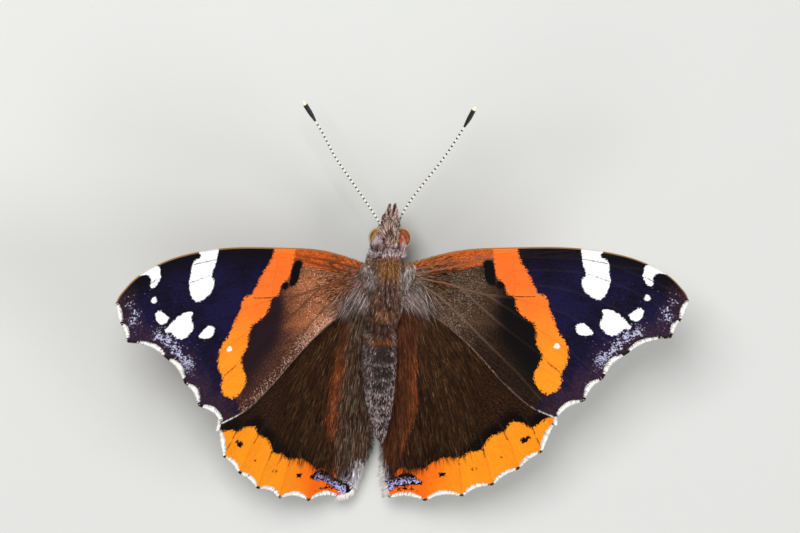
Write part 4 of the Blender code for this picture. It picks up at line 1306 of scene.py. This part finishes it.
def coatShades(name, sizes, points, crown):
    strand = strandTones(points[:, :2], 0.12, 0.9 * sizes["length"])
    spread = sizes["spread"]
    tones = unevenTones(len(points)) * (1 + spread * (strand - 0.5))
    colours = bodyColour(points) * tones[:, None]
    share = fleckShare(name, points) * np.where(strand > 0.6, 1 + spread, 1 - 0.65 * spread)
    pale = draws.random(len(points)) < share
    paleness = (0.4 + 0.7 * draws.random(len(points)))[:, None]
    colours[pale] = (np.array(sizes["fleck"][:3]) * paleness)[pale]
    if name == "collar":
        colours = mixShade(colours, "lobe", crown * (0.3 + 0.6 * (strand > 0.35)) * ~pale)
    return colours


def makeBodyCoat(skin, name, sizes):
    def wanted(centres):
        y = centres[:, 1]
        kept = (y > sizes["from"]) & (y <= sizes["to"]) & outsideEyes(centres)
        return kept.astype(float)

    points, normals = surfacePoints(skin, sizes["count"], wanted)
    count = len(points)
    lie, crown = coatLie(name, points)
    lie -= normals * np.sum(lie * normals, axis=1)[:, None]
    lie /= np.linalg.norm(lie, axis=1)[:, None] + 1e-6
    stand = sizes["stand"] * (0.6 + 0.8 * draws.random(count))[:, None]
    scatter = draws.normal(0, 0.11, (count, 3))
    ways = normals * stand + lie * (1 - stand)
    if name == "collar":
        forwards = np.stack([0.14 * points[:, 0], np.ones(count), np.full(count, 0.5)], axis=1)
        ways = ways + (forwards - ways) * crown[:, None]
    lengths = coatLengths(name, sizes, points, crown)
    widths = sizes["width"] * (0.8 + 0.5 * draws.random(count))
    colours = coatShades(name, sizes, points, crown)
    hairs = (points, ways + scatter, lie - normals * 0.25, lengths, widths, 0.3)
    made = coatMaterial(name + "Coat", 0.55, sizes.get("paleTips", 0.0))
    makeCoat(name + "Coat", hairs, colours, bodyPlaces(points), made)


bodySkin = makeSkin()
for name, sizes in coats.items():
    makeBodyCoat(bodySkin, name, sizes)


# Fringes round the margins, white between the vein ends, and long hairs over the wings' roots
fringe = {"rows": 4, "spacing": 0.045, "short": 0.12, "width": 0.04,
          "apexHairs": 90, "apex": (19.45, -12.9), "apexWay": (0.23, -1.6),
          "white": linear(255, 252, 246), "dark": linear(40, 26, 26),
          "brown": linear(88, 66, 52), "grey": linear(226, 218, 216),
          "trail": linear(142, 114, 100)}
wingHair = {
    "forewing": {"count": 7200, "length": 0.62, "width": 0.022, "lift": 0.07, "reach": 8.0,
                 "tuft": 0.17},
    "hindwing": {"count": 15500, "length": 1.4, "width": 0.02, "lift": 0.05, "reach": 10.5},
    "brown": linear(40, 24, 13), "pale": linear(86, 54, 32), "rust": linear(98, 54, 33),
    "grey": linear(150, 138, 132), "gold": linear(112, 84, 54), "light": linear(136, 118, 102),
    # fold is the rust-orange of the painted highlight where the hindwing's fold catches light
    "orange": linear(196, 104, 48), "warm": linear(162, 104, 68), "fold": linear(166, 86, 44),
    "corner": linear(252, 246, 252), "tuftDark": linear(84, 66, 58),
    "tuftLight": linear(200, 182, 176)}
# Per side: the share of rust hairs by the crease, where the painted highlight along the fold lies
# (ridge, wide, end), and the pale corner
hindHairSides = {
    "Right": {"rust": 0.75, "ridge": 0.25, "wide": 0.35, "end": (17.0, 21.0),
              "corner": (-3.0, -2.0)},
    "Left": {"rust": 0.2, "ridge": 0.0, "wide": 0.75, "end": (15.0, 19.0),
             "corner": (-2.2, -0.4)}}


def coatOnWing(name, side, hind, plan, aims, lift, lengths, widths, shades):
    sign = sideSign[side]
    height, _, _ = wingHeight(plan, hind, side)
    beyond, _, _ = wingHeight(plan + 0.2 * aims, hind, side)
    rise = (beyond - height) / 0.2 + lift
    roots = np.column_stack([sign * plan[:, 0], plan[:, 1],
                             height + wing["thickness"] / 2 * np.sign(lift + 1e-9)])
    ways = np.column_stack([sign * aims[:, 0], aims[:, 1], rise])
    lies = np.tile([0.0, 0.0, -0.6], (len(plan), 1)) * lift[:, None]
    places = (plan + [3, 27]) / 40
    makeCoat(name + side, (roots, ways, lies, lengths, widths, 0.5), shades, places,
             coatMaterial(name + side, 0.4))


def marginFringe(hind):
    line, thick = marginLine(hind, fringe["spacing"])
    along = np.gradient(smoothCurve(line, 0.3), axis=0)
    spots = np.linspace(0, len(along) - 1, len(line)).astype(int)
    along = along[spots] / np.linalg.norm(along[spots], axis=1)[:, None]
    outwards = np.stack([-along[:, 1], along[:, 0]], axis=1)
    count = len(line)
    rows = []
    for row in range(fringe["rows"]):
        jitter = draws.normal(0, 0.015, (count, 2))
        plan = line - outwards * (0.02 + 0.05 * row) + jitter
        aims = outwards + 0.16 * draws.normal(0, 1, (count, 1)) * along
        dark = thick + draws.normal(0, 0.03, count) < 0.05
        speck = draws.random(count) < 0.05
        shades = np.where((dark | speck)[:, None], [fringe["dark"][:3]], [fringe["white"][:3]])
        shades = shades * (0.85 + 0.3 * draws.random(count))[:, None]
        reach = fringe["short"] + thick * (0.8 + 0.35 * draws.random(count))
        rows.append((plan, aims, shades, reach + 0.05 * row))
    return rows


def whiteRow(plan, aims, low, spread):
    lengths = low + spread * draws.random(len(plan))
    return plan, aims, np.tile(fringe["white"][:3], (len(plan), 1)), lengths


# The fringe of the inner edge, of a hindwing's front corner and of the left one's inner corner
def innerFringe(side, hind):
    inner = innerLine(hind, side, 0.05)
    way = np.gradient(inner, axis=0)
    way /= np.linalg.norm(way, axis=1)[:, None]
    away = np.stack([-way[:, 1], way[:, 0]], axis=1)
    near = inner[:, 1] < -12 if hind else inner[:, 0] > 5.5
    inner, way, away = inner[near], way[near], away[near]
    count = len(inner)
    if hind:
        tail = softStep(-inner[:, 1], 19.5, 22.0)
        corner = softStep(-inner[:, 1], 25.0, 25.3)
        first, last, lean, reach = "brown", "grey", (1.1 - 0.6 * tail) * (1 - corner), 0.7
    else:
        tail = softStep(inner[:, 0], 16.8, 18.8)
        first, last, lean, reach = "trail", "white", np.full(count, 0.7), 0.18
    aims = away - way * lean[:, None] + draws.normal(0, 0.2, (count, 2))
    shades = np.array(fringe[first][:3]) * (1 - tail)[:, None]
    shades = shades + np.array(fringe[last][:3]) * tail[:, None]
    if hind:
        shades = shades + (np.array(fringe["white"][:3]) - shades) * corner[:, None]
    shades = shades * (0.6 + 0.7 * draws.random(count))[:, None]
    rows = [(inner - 0.08 * away, aims, shades, reach * (1 + 0.7 * draws.random(count)))]
    if hind:
        count = fringe["apexHairs"]
        apex = fringe["apex"] + fringe["apexWay"] * draws.random((count, 1))
        rows.append(whiteRow(apex, [1.0, -0.1] + draws.normal(0, 0.12, (count, 2)), 0.42, 0.12))
    if hind and side == "Left":
        extra = np.repeat(np.flatnonzero(corner > 0.5), 4)
        plan = inner[extra] - 0.15 * draws.random((len(extra), 1)) * away[extra]
        aims = away[extra] + draws.normal(0, 0.15, (len(extra), 2))
        rows.append(whiteRow(plan, aims, 0.35, 0.2))
    return rows


def makeFringe(side, hind):
    rows = marginFringe(hind) + innerFringe(side, hind)
    plan, aims, shades, lengths = [np.concatenate(part) for part in zip(*rows)]
    aims /= np.linalg.norm(aims, axis=1)[:, None]
    lift = draws.normal(0, 0.06, len(plan))
    widths = fringe["width"] * (0.8 + 0.4 * draws.random(len(plan)))
    kind = "hindwing" if hind else "forewing"
    coatOnWing(kind + "Fringe", side, hind, plan, aims, lift, lengths, widths, shades)


# Places of a wing's hairs, and how far and which way each lies from the wing's base
def hairPlaces(sizes, outline, hind):
    low, high = outline.min(axis=0), outline.max(axis=0)
    plan = low + draws.random((sizes["count"] * 12, 2)) * (high - low)
    away = plan - wing["hairBase"]
    reach = np.linalg.norm(away, axis=1)
    if hind:
        chance = softStep(sizes["reach"] - plan[:, 0], -1.5, 2.5) * softStep(-plan[:, 1], 0, 3)
        low = 21.5 - 2.0 * softStep(plan[:, 0], 4.0, 8.0)
        chance = chance * (1 - softStep(-plan[:, 1] + 0.25 * plan[:, 0], low, low + 3.0))
    else:
        chance = 1 - softStep(reach, 0.35 * sizes["reach"], sizes["reach"])
        chance = chance * (plan[:, 1] < 4.5)
    kept = insideLoop(plan, outline) & (draws.random(len(plan)) < chance)
    kept = np.flatnonzero(kept)[:sizes["count"]]
    return plan[kept], away[kept], reach[kept]


def unevenBlend(first, last, count):
    first, last = np.array(wingHair[first][:3]), np.array(wingHair[last][:3])
    return first + (last - first) * (draws.random(count) ** 2)[:, None]


def tinted(shades, name, chance):
    chosen = (draws.random(len(shades)) < chance)[:, None]
    return np.where(chosen, np.array(wingHair[name][:3]), shades)


def hindHairShades(side, plan, apart, shades):
    sizes = hindHairSides[side]
    down = -plan[:, 1]
    inner = softStep(-apart, -0.1, 0.3)
    shades = tinted(shades, "gold", 0.1)
    shades = tinted(shades, "rust", inner * sizes["rust"])
    if side == "Left":
        shades = tinted(shades, "light", 0.3 * inner)
        rusty = 1 - 0.7 * softStep(down, 16.0, 19.0)
        shades = tinted(shades, "rust", 0.8 * rusty * np.exp(-(apart / 0.7) ** 2))
    # The fold tint is a painted highlight along the crease, where the fold catches light
    length = softStep(down, 5.0, 9.0) * (1 - softStep(down, *sizes["end"]))
    ridge = np.exp(-((apart + sizes["ridge"]) / sizes["wide"]) ** 2)
    shades = tinted(shades, "fold", 0.55 * length * ridge)
    pale = softStep(down, 20.5, 22.5) * softStep(-plan[:, 0], *sizes["corner"])
    return tinted(shades, "corner", 0.8 * pale)


def foreHairShades(side, plan, reach, shades):
    # Left hairs painted warmer and right hairs more golden: painted light as each side is lit
    shades = tinted(shades, "warm" if side == "Left" else "gold", 0.4)
    costal = softStep(plan[:, 1] - 0.28 * plan[:, 0], 1.3, 2.0)
    shades = tinted(shades, "grey", 0.65 * (1 - softStep(reach, 1.3, 3.8)) * (1 - 0.8 * costal))
    return tinted(shades, "orange", 0.7 * costal)


# Some of a forewing's hairs become long tufts that fall backwards from its base
def withTufts(share, outline, plan, aims, lengths, shades):
    count = len(plan)
    spots = np.array([3.0, -0.6]) + draws.normal(0, 1.0, (count, 2)) * np.array([1.0, 0.6])
    tuft = insideLoop(spots, outline) & (draws.random(count) < share)
    fall = np.array([0.55, -1.0]) + draws.normal(0, 0.2, (count, 2))
    fall /= np.linalg.norm(fall, axis=1)[:, None]
    plan = np.where(tuft[:, None], spots, plan)
    aims = np.where(tuft[:, None], fall, aims)
    lengths = np.where(tuft, 1.0 + 2.2 * draws.random(count), lengths)
    mauve = unevenBlend("tuftDark", "tuftLight", count)
    return plan, aims, lengths, np.where(tuft[:, None], mauve, shades)


def makeWingHair(side, hind):
    kind = "hindwing" if hind else "forewing"
    sizes = wingHair[kind]
    outline = wingOutline(hind, side)
    plan, away, reach = hairPlaces(sizes, outline, hind)
    count = len(plan)
    aims = away / reach[:, None] + draws.normal(0, 0.09, (count, 2))
    if hind:
        aims = aims + np.array([0.0, -0.35])
    aims /= np.linalg.norm(aims, axis=1)[:, None]
    lengths = sizes["length"] * (0.55 + 0.75 * draws.random(count))
    lengths = np.minimum(lengths, np.maximum(marginDistance(plan, hind) - 0.2, 0.3))
    shades = unevenBlend("brown", "pale", count)
    if hind:
        apart = creaseSide(plan)
        shades = hindHairShades(side, plan, apart, shades)
        if side == "Right":
            short = (draws.random(count) < 0.8) & (np.abs(apart) < 0.5)
            lengths = np.where(short, 0.3, lengths)
    else:
        shades = foreHairShades(side, plan, reach, shades)
        plan, aims, lengths, shades = withTufts(sizes["tuft"], outline, plan, aims, lengths,
                                                shades)
    turn = np.arctan2(away[:, 1], away[:, 0])
    strand = strandTones(np.stack([14 * turn, reach], axis=1), 0.13, sizes["length"])
    shades = shades * (unevenTones(count) * (0.6 + 0.8 * strand))[:, None]
    if hind:
        shades = shades * (1.08 - 0.18 * softStep(reach, 12.0, 17.0))[:, None]
    widths = sizes["width"] * (0.7 + 0.6 * draws.random(count))
    lift = sizes["lift"] * (0.4 + 1.2 * draws.random(count))
    coatOnWing(kind + "Hair", side, hind, plan, aims, lift, lengths, widths, shades)


for side in sideSign:
    for hind in (False, True):
        makeFringe(side, hind)
        makeWingHair(side, hind)


# Eyes: brown and banded, with fine facets, and painted light from the key light's side: a dark ring
# and the far side in painted shade, and a pale rim of painted highlight
def makeEye(side):
    sign = sideSign[side]
    bpy.ops.object.select_all(action="DESELECT")
    bpy.ops.mesh.primitive_ico_sphere_add(subdivisions=6, radius=1.0)
    ball = bpy.context.object
    ball.name = "eyeBall" + side
    ball.scale = [radius * mm for radius in eye["radii"]]
    x, y, z = eye["place"]
    ball.location = toFrame((sign * x + body["headShift"], y, z))
    bpy.ops.object.transform_apply(location=True, rotation=True, scale=True)
    bpy.ops.object.shade_smooth()
    made, start, shader = startMaterial("eyeFacets" + side, {"Specular IOR Level": 0.3})
    place = objectPlace(start)
    facets = start.node("ShaderNodeTexVoronoi", {"feature": "DISTANCE_TO_EDGE"},
                        {"Vector": place, "Scale": 16000.0, "Randomness": 0.3})
    centre = Vector(toFrame((sign * x + body["headShift"], y, z)))
    inEye = start.node("ShaderNodeMapping", {"vector_type": "POINT"},
                       {"Vector": place, "Location": tuple(-centre * 1000), "Scale": (1e3,) * 3})
    split = start.tree.nodes.new("ShaderNodeSeparateXYZ")
    start.tree.links.new(inEye.socket, split.inputs[0])
    across, ahead, up = [Value(start.tree, split.outputs[index]) for index in range(3)]
    wobble = noise(start, inEye, 1.6, 2.0)
    stripe = (across * 13.0 * sign + ahead * 7.0 + wobble * 5.0).maths("SINE") * 0.13
    stripe = stripe + wobble * 0.7 + 0.2
    warm = linear(*eye["colours"][side])
    colour = stripe.ramp(0.25, 0.75).blend(linear(92, 44, 20), warm)
    # Painted light: how far each point faces the key light; away from it the eye is painted dark as
    # shade, and a band of it pale as highlight
    lean = across * eye["lightLean"][0] + ahead * eye["lightLean"][1] + up * eye["lightLean"][2]
    lean = lean + wobble * 0.06
    colour = (lean.ramp(0.76, 0.66) * 0.85).blend(colour, linear(70, 34, 14))
    rim = lean.ramp(0.6, 0.52) * lean.ramp(-0.05, 0.12) * 0.9
    colour = rim.blend(colour, linear(222, 190, 128))
    colour = facets.ramp(0.12, 0.0).maths("MULTIPLY", 0.45).blend(colour, linear(30, 14, 8))
    connect(start, colour, shader, "Base Color")
    connect(start, facets * 0.4 + 0.34, shader, "Roughness")
    bump(start, shader, facets, 0.25, 0.00003)
    ball.data.materials.clear()
    ball.data.materials.append(made)
    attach(ball, "root")
    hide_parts("eye_" + side.lower())


# Antennae: ringed shafts that end in clubs
antenna = {
    "routes": {"Right": [(0.6, 7.2, 0.4), (1.1, 9.7, 1.25), (2.45, 12.6, 2.3), (4.15, 15.7, 3.45),
                         (5.3, 18.1, 4.3), (6.35, 20.7, 5.25), (7.1, 22.95, 6.05)],
               "Left": [(-0.7, 7.2, 0.4), (-2.65, 9.9, 0.7), (-5.05, 13.0, 1.0),
                        (-7.35, 16.0, 1.3), (-9.25, 19.05, 1.65), (-11.65, 22.45, 2.0)]},
    "base": {"Right": 2.4, "Left": 1.3}, "shaft": 0.11, "club": 0.27, "clubLength": 2.9,
    "segment": 0.56, "step": 0.045, "sides": 18}


def makeAntenna(side):
    route = smoothCurve(antenna["routes"][side], antenna["step"])
    along = np.arange(len(route)) * antenna["step"]
    left = along[-1] - along
    share = np.clip(1 - left / antenna["clubLength"], 0, 1)
    swell = softStep(share, -0.12, 0.5)
    radii = antenna["shaft"] + (antenna["club"] - antenna["shaft"]) * swell
    radii *= np.sqrt(np.clip(1 - np.clip((share - 0.74) / 0.26, 0, 1) ** 2.0, 0.002, 1))
    travel = np.clip(along[-1] - antenna["clubLength"] - along, 0, None)
    joint = (travel / antenna["segment"]) % 1.0
    radii *= 1 - 0.12 * np.exp(-(np.minimum(joint, 1 - joint) / 0.1) ** 2) * (share < 0.02)
    radii *= 1 - 0.05 * np.exp(-((along / 0.21 % 1.0 - 0.5) / 0.12) ** 2) * (share > 0.02)
    radii *= 1 + 0.35 * np.exp(-(along - 0.45) ** 2 / 0.06)
    sides = antenna["sides"]
    points, faces = tubeShape(route, radii, sides)
    made, start, shader = startMaterial("antenna" + side, {"Roughness": 0.45})
    ring = (attribute(start, "travel") * (1 / antenna["segment"])).maths("FRACT")
    grain = noise(start, objectPlace(start), 9000.0, 2.0)
    onShaft = attribute(start, "club").ramp(0.03, 0.0)
    white = (ring + grain * 0.2).ramp(0.8, 0.7) * (attribute(start, "up") + grain * 0.5).ramp(
        -0.1, 0.2)
    colour = grain.ramp(0.55, 0.8).blend(linear(14, 10, 11), linear(58, 48, 50))
    colour = (white * onShaft).blend(colour, linear(236, 234, 226))
    tipMask = (attribute(start, "club") + grain * 0.03).ramp(0.83, 0.87)
    colour = tipMask.blend(colour, linear(250, 238, 206))
    under = attribute(start, "base").ramp(0.2, 0.8)
    colour = (under * 0.8).blend(colour, linear(74, 54, 46))
    connect(start, colour, shader, "Base Color")
    bump(start, shader, grain, 0.3, 0.00003)
    piece = pieceFromTriangles("antenna" + side, points, faces, made)
    rings = np.repeat(np.arange(len(route)), sides)
    rings = np.concatenate([rings, [0, len(route) - 1]])
    around = np.cos(2 * math.pi * np.tile(np.arange(sides), len(route)) / sides)
    giveAttribute(piece, "up", np.concatenate([around, [0, 0]]))
    giveAttribute(piece, "travel", travel[rings])
    giveAttribute(piece, "club", share[rings])
    giveAttribute(piece, "base", np.clip(1.4 - along[rings] / antenna["base"][side], 0, 1))
    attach(piece, "root")
    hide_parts("antenna_" + side.lower())


# Proboscis: a flat spiral under the head
coil = {"place": (7.35, -3.2), "outer": 0.84, "inner": 0.2, "turns": 2.4, "radius": 0.13,
        "points": 150, "sides": 14, "flatness": 0.85}


def makeProboscis():
    y, z = coil["place"]
    middle = body["headShift"]
    share = np.linspace(0, 1, coil["points"])
    turn = math.pi / 2 - 2 * math.pi * coil["turns"] * share
    reach = coil["outer"] + (coil["inner"] - coil["outer"]) * share ** 0.9
    spiral = np.stack([np.full(len(share), middle), y + reach * np.cos(turn),
                       z + reach * np.sin(turn)], axis=1)
    stem = smoothCurve([(middle, y - 0.5, z + 1.95), (middle, y - 0.35, z + 1.3),
                        (middle, y - 0.05, z + 0.88), spiral[4]], 0.06)
    route = np.vstack([stem[:-1], spiral[4:]])
    ribs = 1 - 0.06 * (np.arange(len(route)) % 2)
    radii = np.interp(np.linspace(0, 1, len(route)), [0, 0.1, 1], [0.17, coil["radius"], 0.06])
    points, faces = tubeShape(route, radii * ribs, coil["sides"], coil["flatness"])
    made, start, shader = startMaterial("proboscis", {"Coat Roughness": 0.3})
    grain = noise(start, objectPlace(start), 5200.0, 3.0)
    colour = grain.ramp(0.3, 0.7).blend(linear(38, 22, 12), linear(92, 58, 32))
    connect(start, colour, shader, "Base Color")
    connect(start, grain * 0.3 + 0.25, shader, "Roughness")
    bump(start, shader, grain, 0.3, 0.00003)
    piece = pieceFromTriangles("proboscis", points, faces, made)
    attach(piece, "root")
    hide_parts("proboscis")


# Legs as hip, knee, heel and toe, with heights measured from the floor
leg = {
    "stand": 7.0,
    "foreleg": [(0.9, 3.2, 3.9), (0.75, 5.1, 3.3), (0.7, 4.0, 2.5), (0.7, 3.3, 2.35)],
    "midleg": [(1.15, 0.8, 2.9), (5.2, 1.6, 4.0), (8.0, 1.9, 0.5), (10.3, 2.3, 0.12)],
    "hindleg": [(1.15, -2.0, 2.9), (4.6, -5.2, 3.6), (6.3, -9.0, 0.5), (7.3, -11.7, 0.12)],
    "femur": 0.3, "tibia": 0.2, "tarsus": 0.12, "hairs": 1100, "joints": 5, "sides": 14,
    "claw": (0.05, 0.015), "clawSides": 8}


def makeLeg(side, kind):
    sign = sideSign[side]
    joints = np.array([(sign * x, y, z - leg["stand"]) for x, y, z in leg[kind]])
    route, radii, reach = [], [], []
    widths = ((leg["femur"], 0.6), (leg["tibia"], 0.8), (leg["tarsus"], 0.85))
    for index, (wide, taper) in enumerate(widths):
        start, stop = joints[index], joints[index + 1]
        count = max(6, int(np.linalg.norm(stop - start) / 0.09))
        share = np.linspace(0, 1, count, endpoint=index == 2)
        swell = 0.55 + 0.45 * np.sin(math.pi * np.clip(share * 1.1 + 0.08, 0, 1)) ** 0.6
        if index == 2:
            part = (share * leg["joints"]) % 1.0
            swell = 0.82 + 0.18 * np.sin(math.pi * part) ** 0.5
            swell[-1] = 0.5
        route.append(start + share[:, None] * (stop - start))
        radii.append(wide * (1 - (1 - taper) * share) * swell)
        reach.append(index + share)
    route, radii, reach = np.vstack(route), np.concatenate(radii), np.concatenate(reach)
    route[1:-1] = (route[:-2] + 2 * route[1:-1] + route[2:]) / 4
    shapes = [tubeShape(route, radii, leg["sides"])]
    toe = joints[3]
    ahead = (joints[3] - joints[2]) / np.linalg.norm(joints[3] - joints[2])
    if kind != "foreleg":
        for turn in (-1, 1):
            across = np.array([-ahead[1], ahead[0], 0]) * turn
            claw = smoothCurve([toe - ahead * 0.1, toe + ahead * 0.14 + across * 0.1,
                                toe + ahead * 0.26 + across * 0.14 - [0, 0, 0.05]], 0.04)
            claw[:, 2] = np.maximum(claw[:, 2], -leg["stand"] + 0.04)
            thin = np.linspace(*leg["claw"], len(claw))
            shapes.append(tubeShape(claw, thin, leg["clawSides"]))
    points, faces = joinShapes(shapes)
    points[:, 2] = np.maximum(points[:, 2], -leg["stand"])
    made, start, shader = startMaterial(kind + side, {"Roughness": 0.5})
    grain = noise(start, objectPlace(start), 3800.0, 3.0)
    part = attribute(start, "reach")
    colour = part.ramp(0.9, 1.1).blend(linear(104, 86, 74), linear(128, 104, 82))
    colour = part.ramp(1.9, 2.1).blend(colour, linear(150, 116, 80))
    colour = grain.ramp(0.35, 0.7).blend(colour, linear(62, 46, 36))
    connect(start, colour, shader, "Base Color")
    bump(start, shader, grain, 0.3, 0.00003)
    piece = pieceFromTriangles(kind + side, points, faces, made)
    along = np.concatenate([np.repeat(reach, leg["sides"]), [0]])
    along = np.concatenate([along, np.full(len(points) - len(along), 3.0)])
    giveAttribute(piece, "reach", along)
    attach(piece, "root")
    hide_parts(kind + "_" + side.lower())
    return route, radii, reach


# Short scales and spines that lie along a leg
def makeLegHairs(side, kind, route, radii, reach):
    count = leg["hairs"]
    spots = draws.random(count) ** 1.1 * (len(route) - 2)
    index = spots.astype(int)
    along = route[index + 1] - route[index]
    along /= np.linalg.norm(along, axis=1)[:, None]
    centre = route[index] + (spots - index)[:, None] * (route[index + 1] - route[index])
    helper = np.cross(along, [0.0, 0.0, 1.0])
    helper /= np.linalg.norm(helper, axis=1)[:, None]
    other = np.cross(along, helper)
    turn = draws.random(count) * 2 * math.pi
    normals = np.cos(turn)[:, None] * helper + np.sin(turn)[:, None] * other
    roots = centre + normals * (radii[index] * 0.9)[:, None]
    part = reach[index]
    spine = (part > 1) & (draws.random(count) < 0.12)
    lengths = np.where(part < 1, 0.38, np.where(part < 2, 0.28, 0.14))
    lengths = lengths * (0.7 + 0.6 * draws.random(count)) * np.where(kind == "foreleg", 1.5, 1)
    lengths = np.where(spine, 0.3, lengths)
    stand = np.where(spine, 0.55, 0.22)[:, None]
    ways = along + normals * stand + draws.normal(0, 0.08, (count, 3))
    widths = np.where(spine, 0.02, 0.022)
    colours = np.where((part < 1)[:, None], np.array([linear(116, 98, 86)[:3]]),
                       np.array([linear(134, 108, 82)[:3]]))
    colours = colours * (0.55 + 0.9 * draws.random(count))[:, None]
    tips = roots + lengths[:, None] * ways / np.linalg.norm(ways, axis=1)[:, None]
    kept = (tips[:, 2] > -leg["stand"] + 0.03) & (roots[:, 2] > -leg["stand"] + 0.03)
    places = np.stack([0.05 + 0.9 * turn / (2 * math.pi), 0.05 + 0.3 * part], axis=1)
    hairs = tuple(level[kept] for level in (roots, ways, -normals * 0.2, lengths, widths))
    makeCoat(kind + "Scales" + side, (*hairs, 0.3), colours[kept], places[kept],
             coatMaterial(kind + "Scales" + side, 0.4))


for side in sideSign:
    makeEye(side)
    makeAntenna(side)
    for kind in ("foreleg", "midleg", "hindleg"):
        makeLegHairs(side, kind, *makeLeg(side, kind))
makeProboscis()
print("eyes, antennae, proboscis and legs ready")


# Room, light and camera
stage = {"size": 600.0, "roughness": 0.8, "colour": linear(216, 217, 214)}
light = {"key": ((-160, 190, 330), 150, 1.35), "fill": ((260, -40, 260), 220, 0.43),
         "back": ((40, -280, 220), 200, 0.3), "room": 0.23}
camera = {"sideLean": 16.8, "headLean": 14.5, "roll": -4.2, "distance": 400.0,
          "aim": (1.68, 2.84), "widthSeen": 90.8, "sensor": 36.0}


def makeFloor():
    bpy.ops.object.select_all(action="DESELECT")
    bpy.ops.mesh.primitive_plane_add(size=stage["size"] * mm)
    floor = bpy.context.object
    floor.name = "floor"
    look = {"Roughness": stage["roughness"], "Base Color": stage["colour"]}
    floor.data.materials.append(startMaterial("paleFloor", look)[0])


def makeLights():
    for name in ("key", "fill", "back"):
        place, size, power = light[name]
        lamp = bpy.data.lights.new(name + "Light", "AREA")
        lamp.size = size * mm
        lamp.energy = power
        stand = bpy.data.objects.new(name + "Light", lamp)
        stand.location = Vector(place) * mm
        stand.rotation_euler = (-stand.location).to_track_quat("-Z", "Y").to_euler()
        bpy.context.scene.collection.objects.link(stand)
    room = bpy.data.worlds.new("room")
    room.use_nodes = True
    back = room.node_tree.nodes["Background"]
    back.inputs[0].default_value = (1.0, 1.0, 1.0, 1.0)
    back.inputs[1].default_value = light["room"]
    bpy.context.scene.world = room
    bpy.context.scene.view_settings.view_transform = "Standard"


def makeCamera():
    turn = (Matrix.Rotation(math.radians(camera["roll"]), 3, "Z")
            @ Matrix.Rotation(math.radians(camera["headLean"]), 3, "X")
            @ Matrix.Rotation(math.radians(camera["sideLean"]), 3, "Y")).transposed()
    lens = bpy.data.cameras.new("camera")
    lens.sensor_width = camera["sensor"]
    lens.lens = camera["sensor"] * camera["distance"] / camera["widthSeen"]
    lens.clip_start = 0.01
    stand = bpy.data.objects.new("camera", lens)
    place = turn @ Vector((*camera["aim"], camera["distance"]))
    stand.matrix_world = Matrix.Translation(Vector(toFrame(place))) @ turn.to_4x4()
    bpy.context.scene.collection.objects.link(stand)
    bpy.context.scene.camera = stand


makeFloor()
makeLights()
makeCamera()
print("room, light and camera ready")
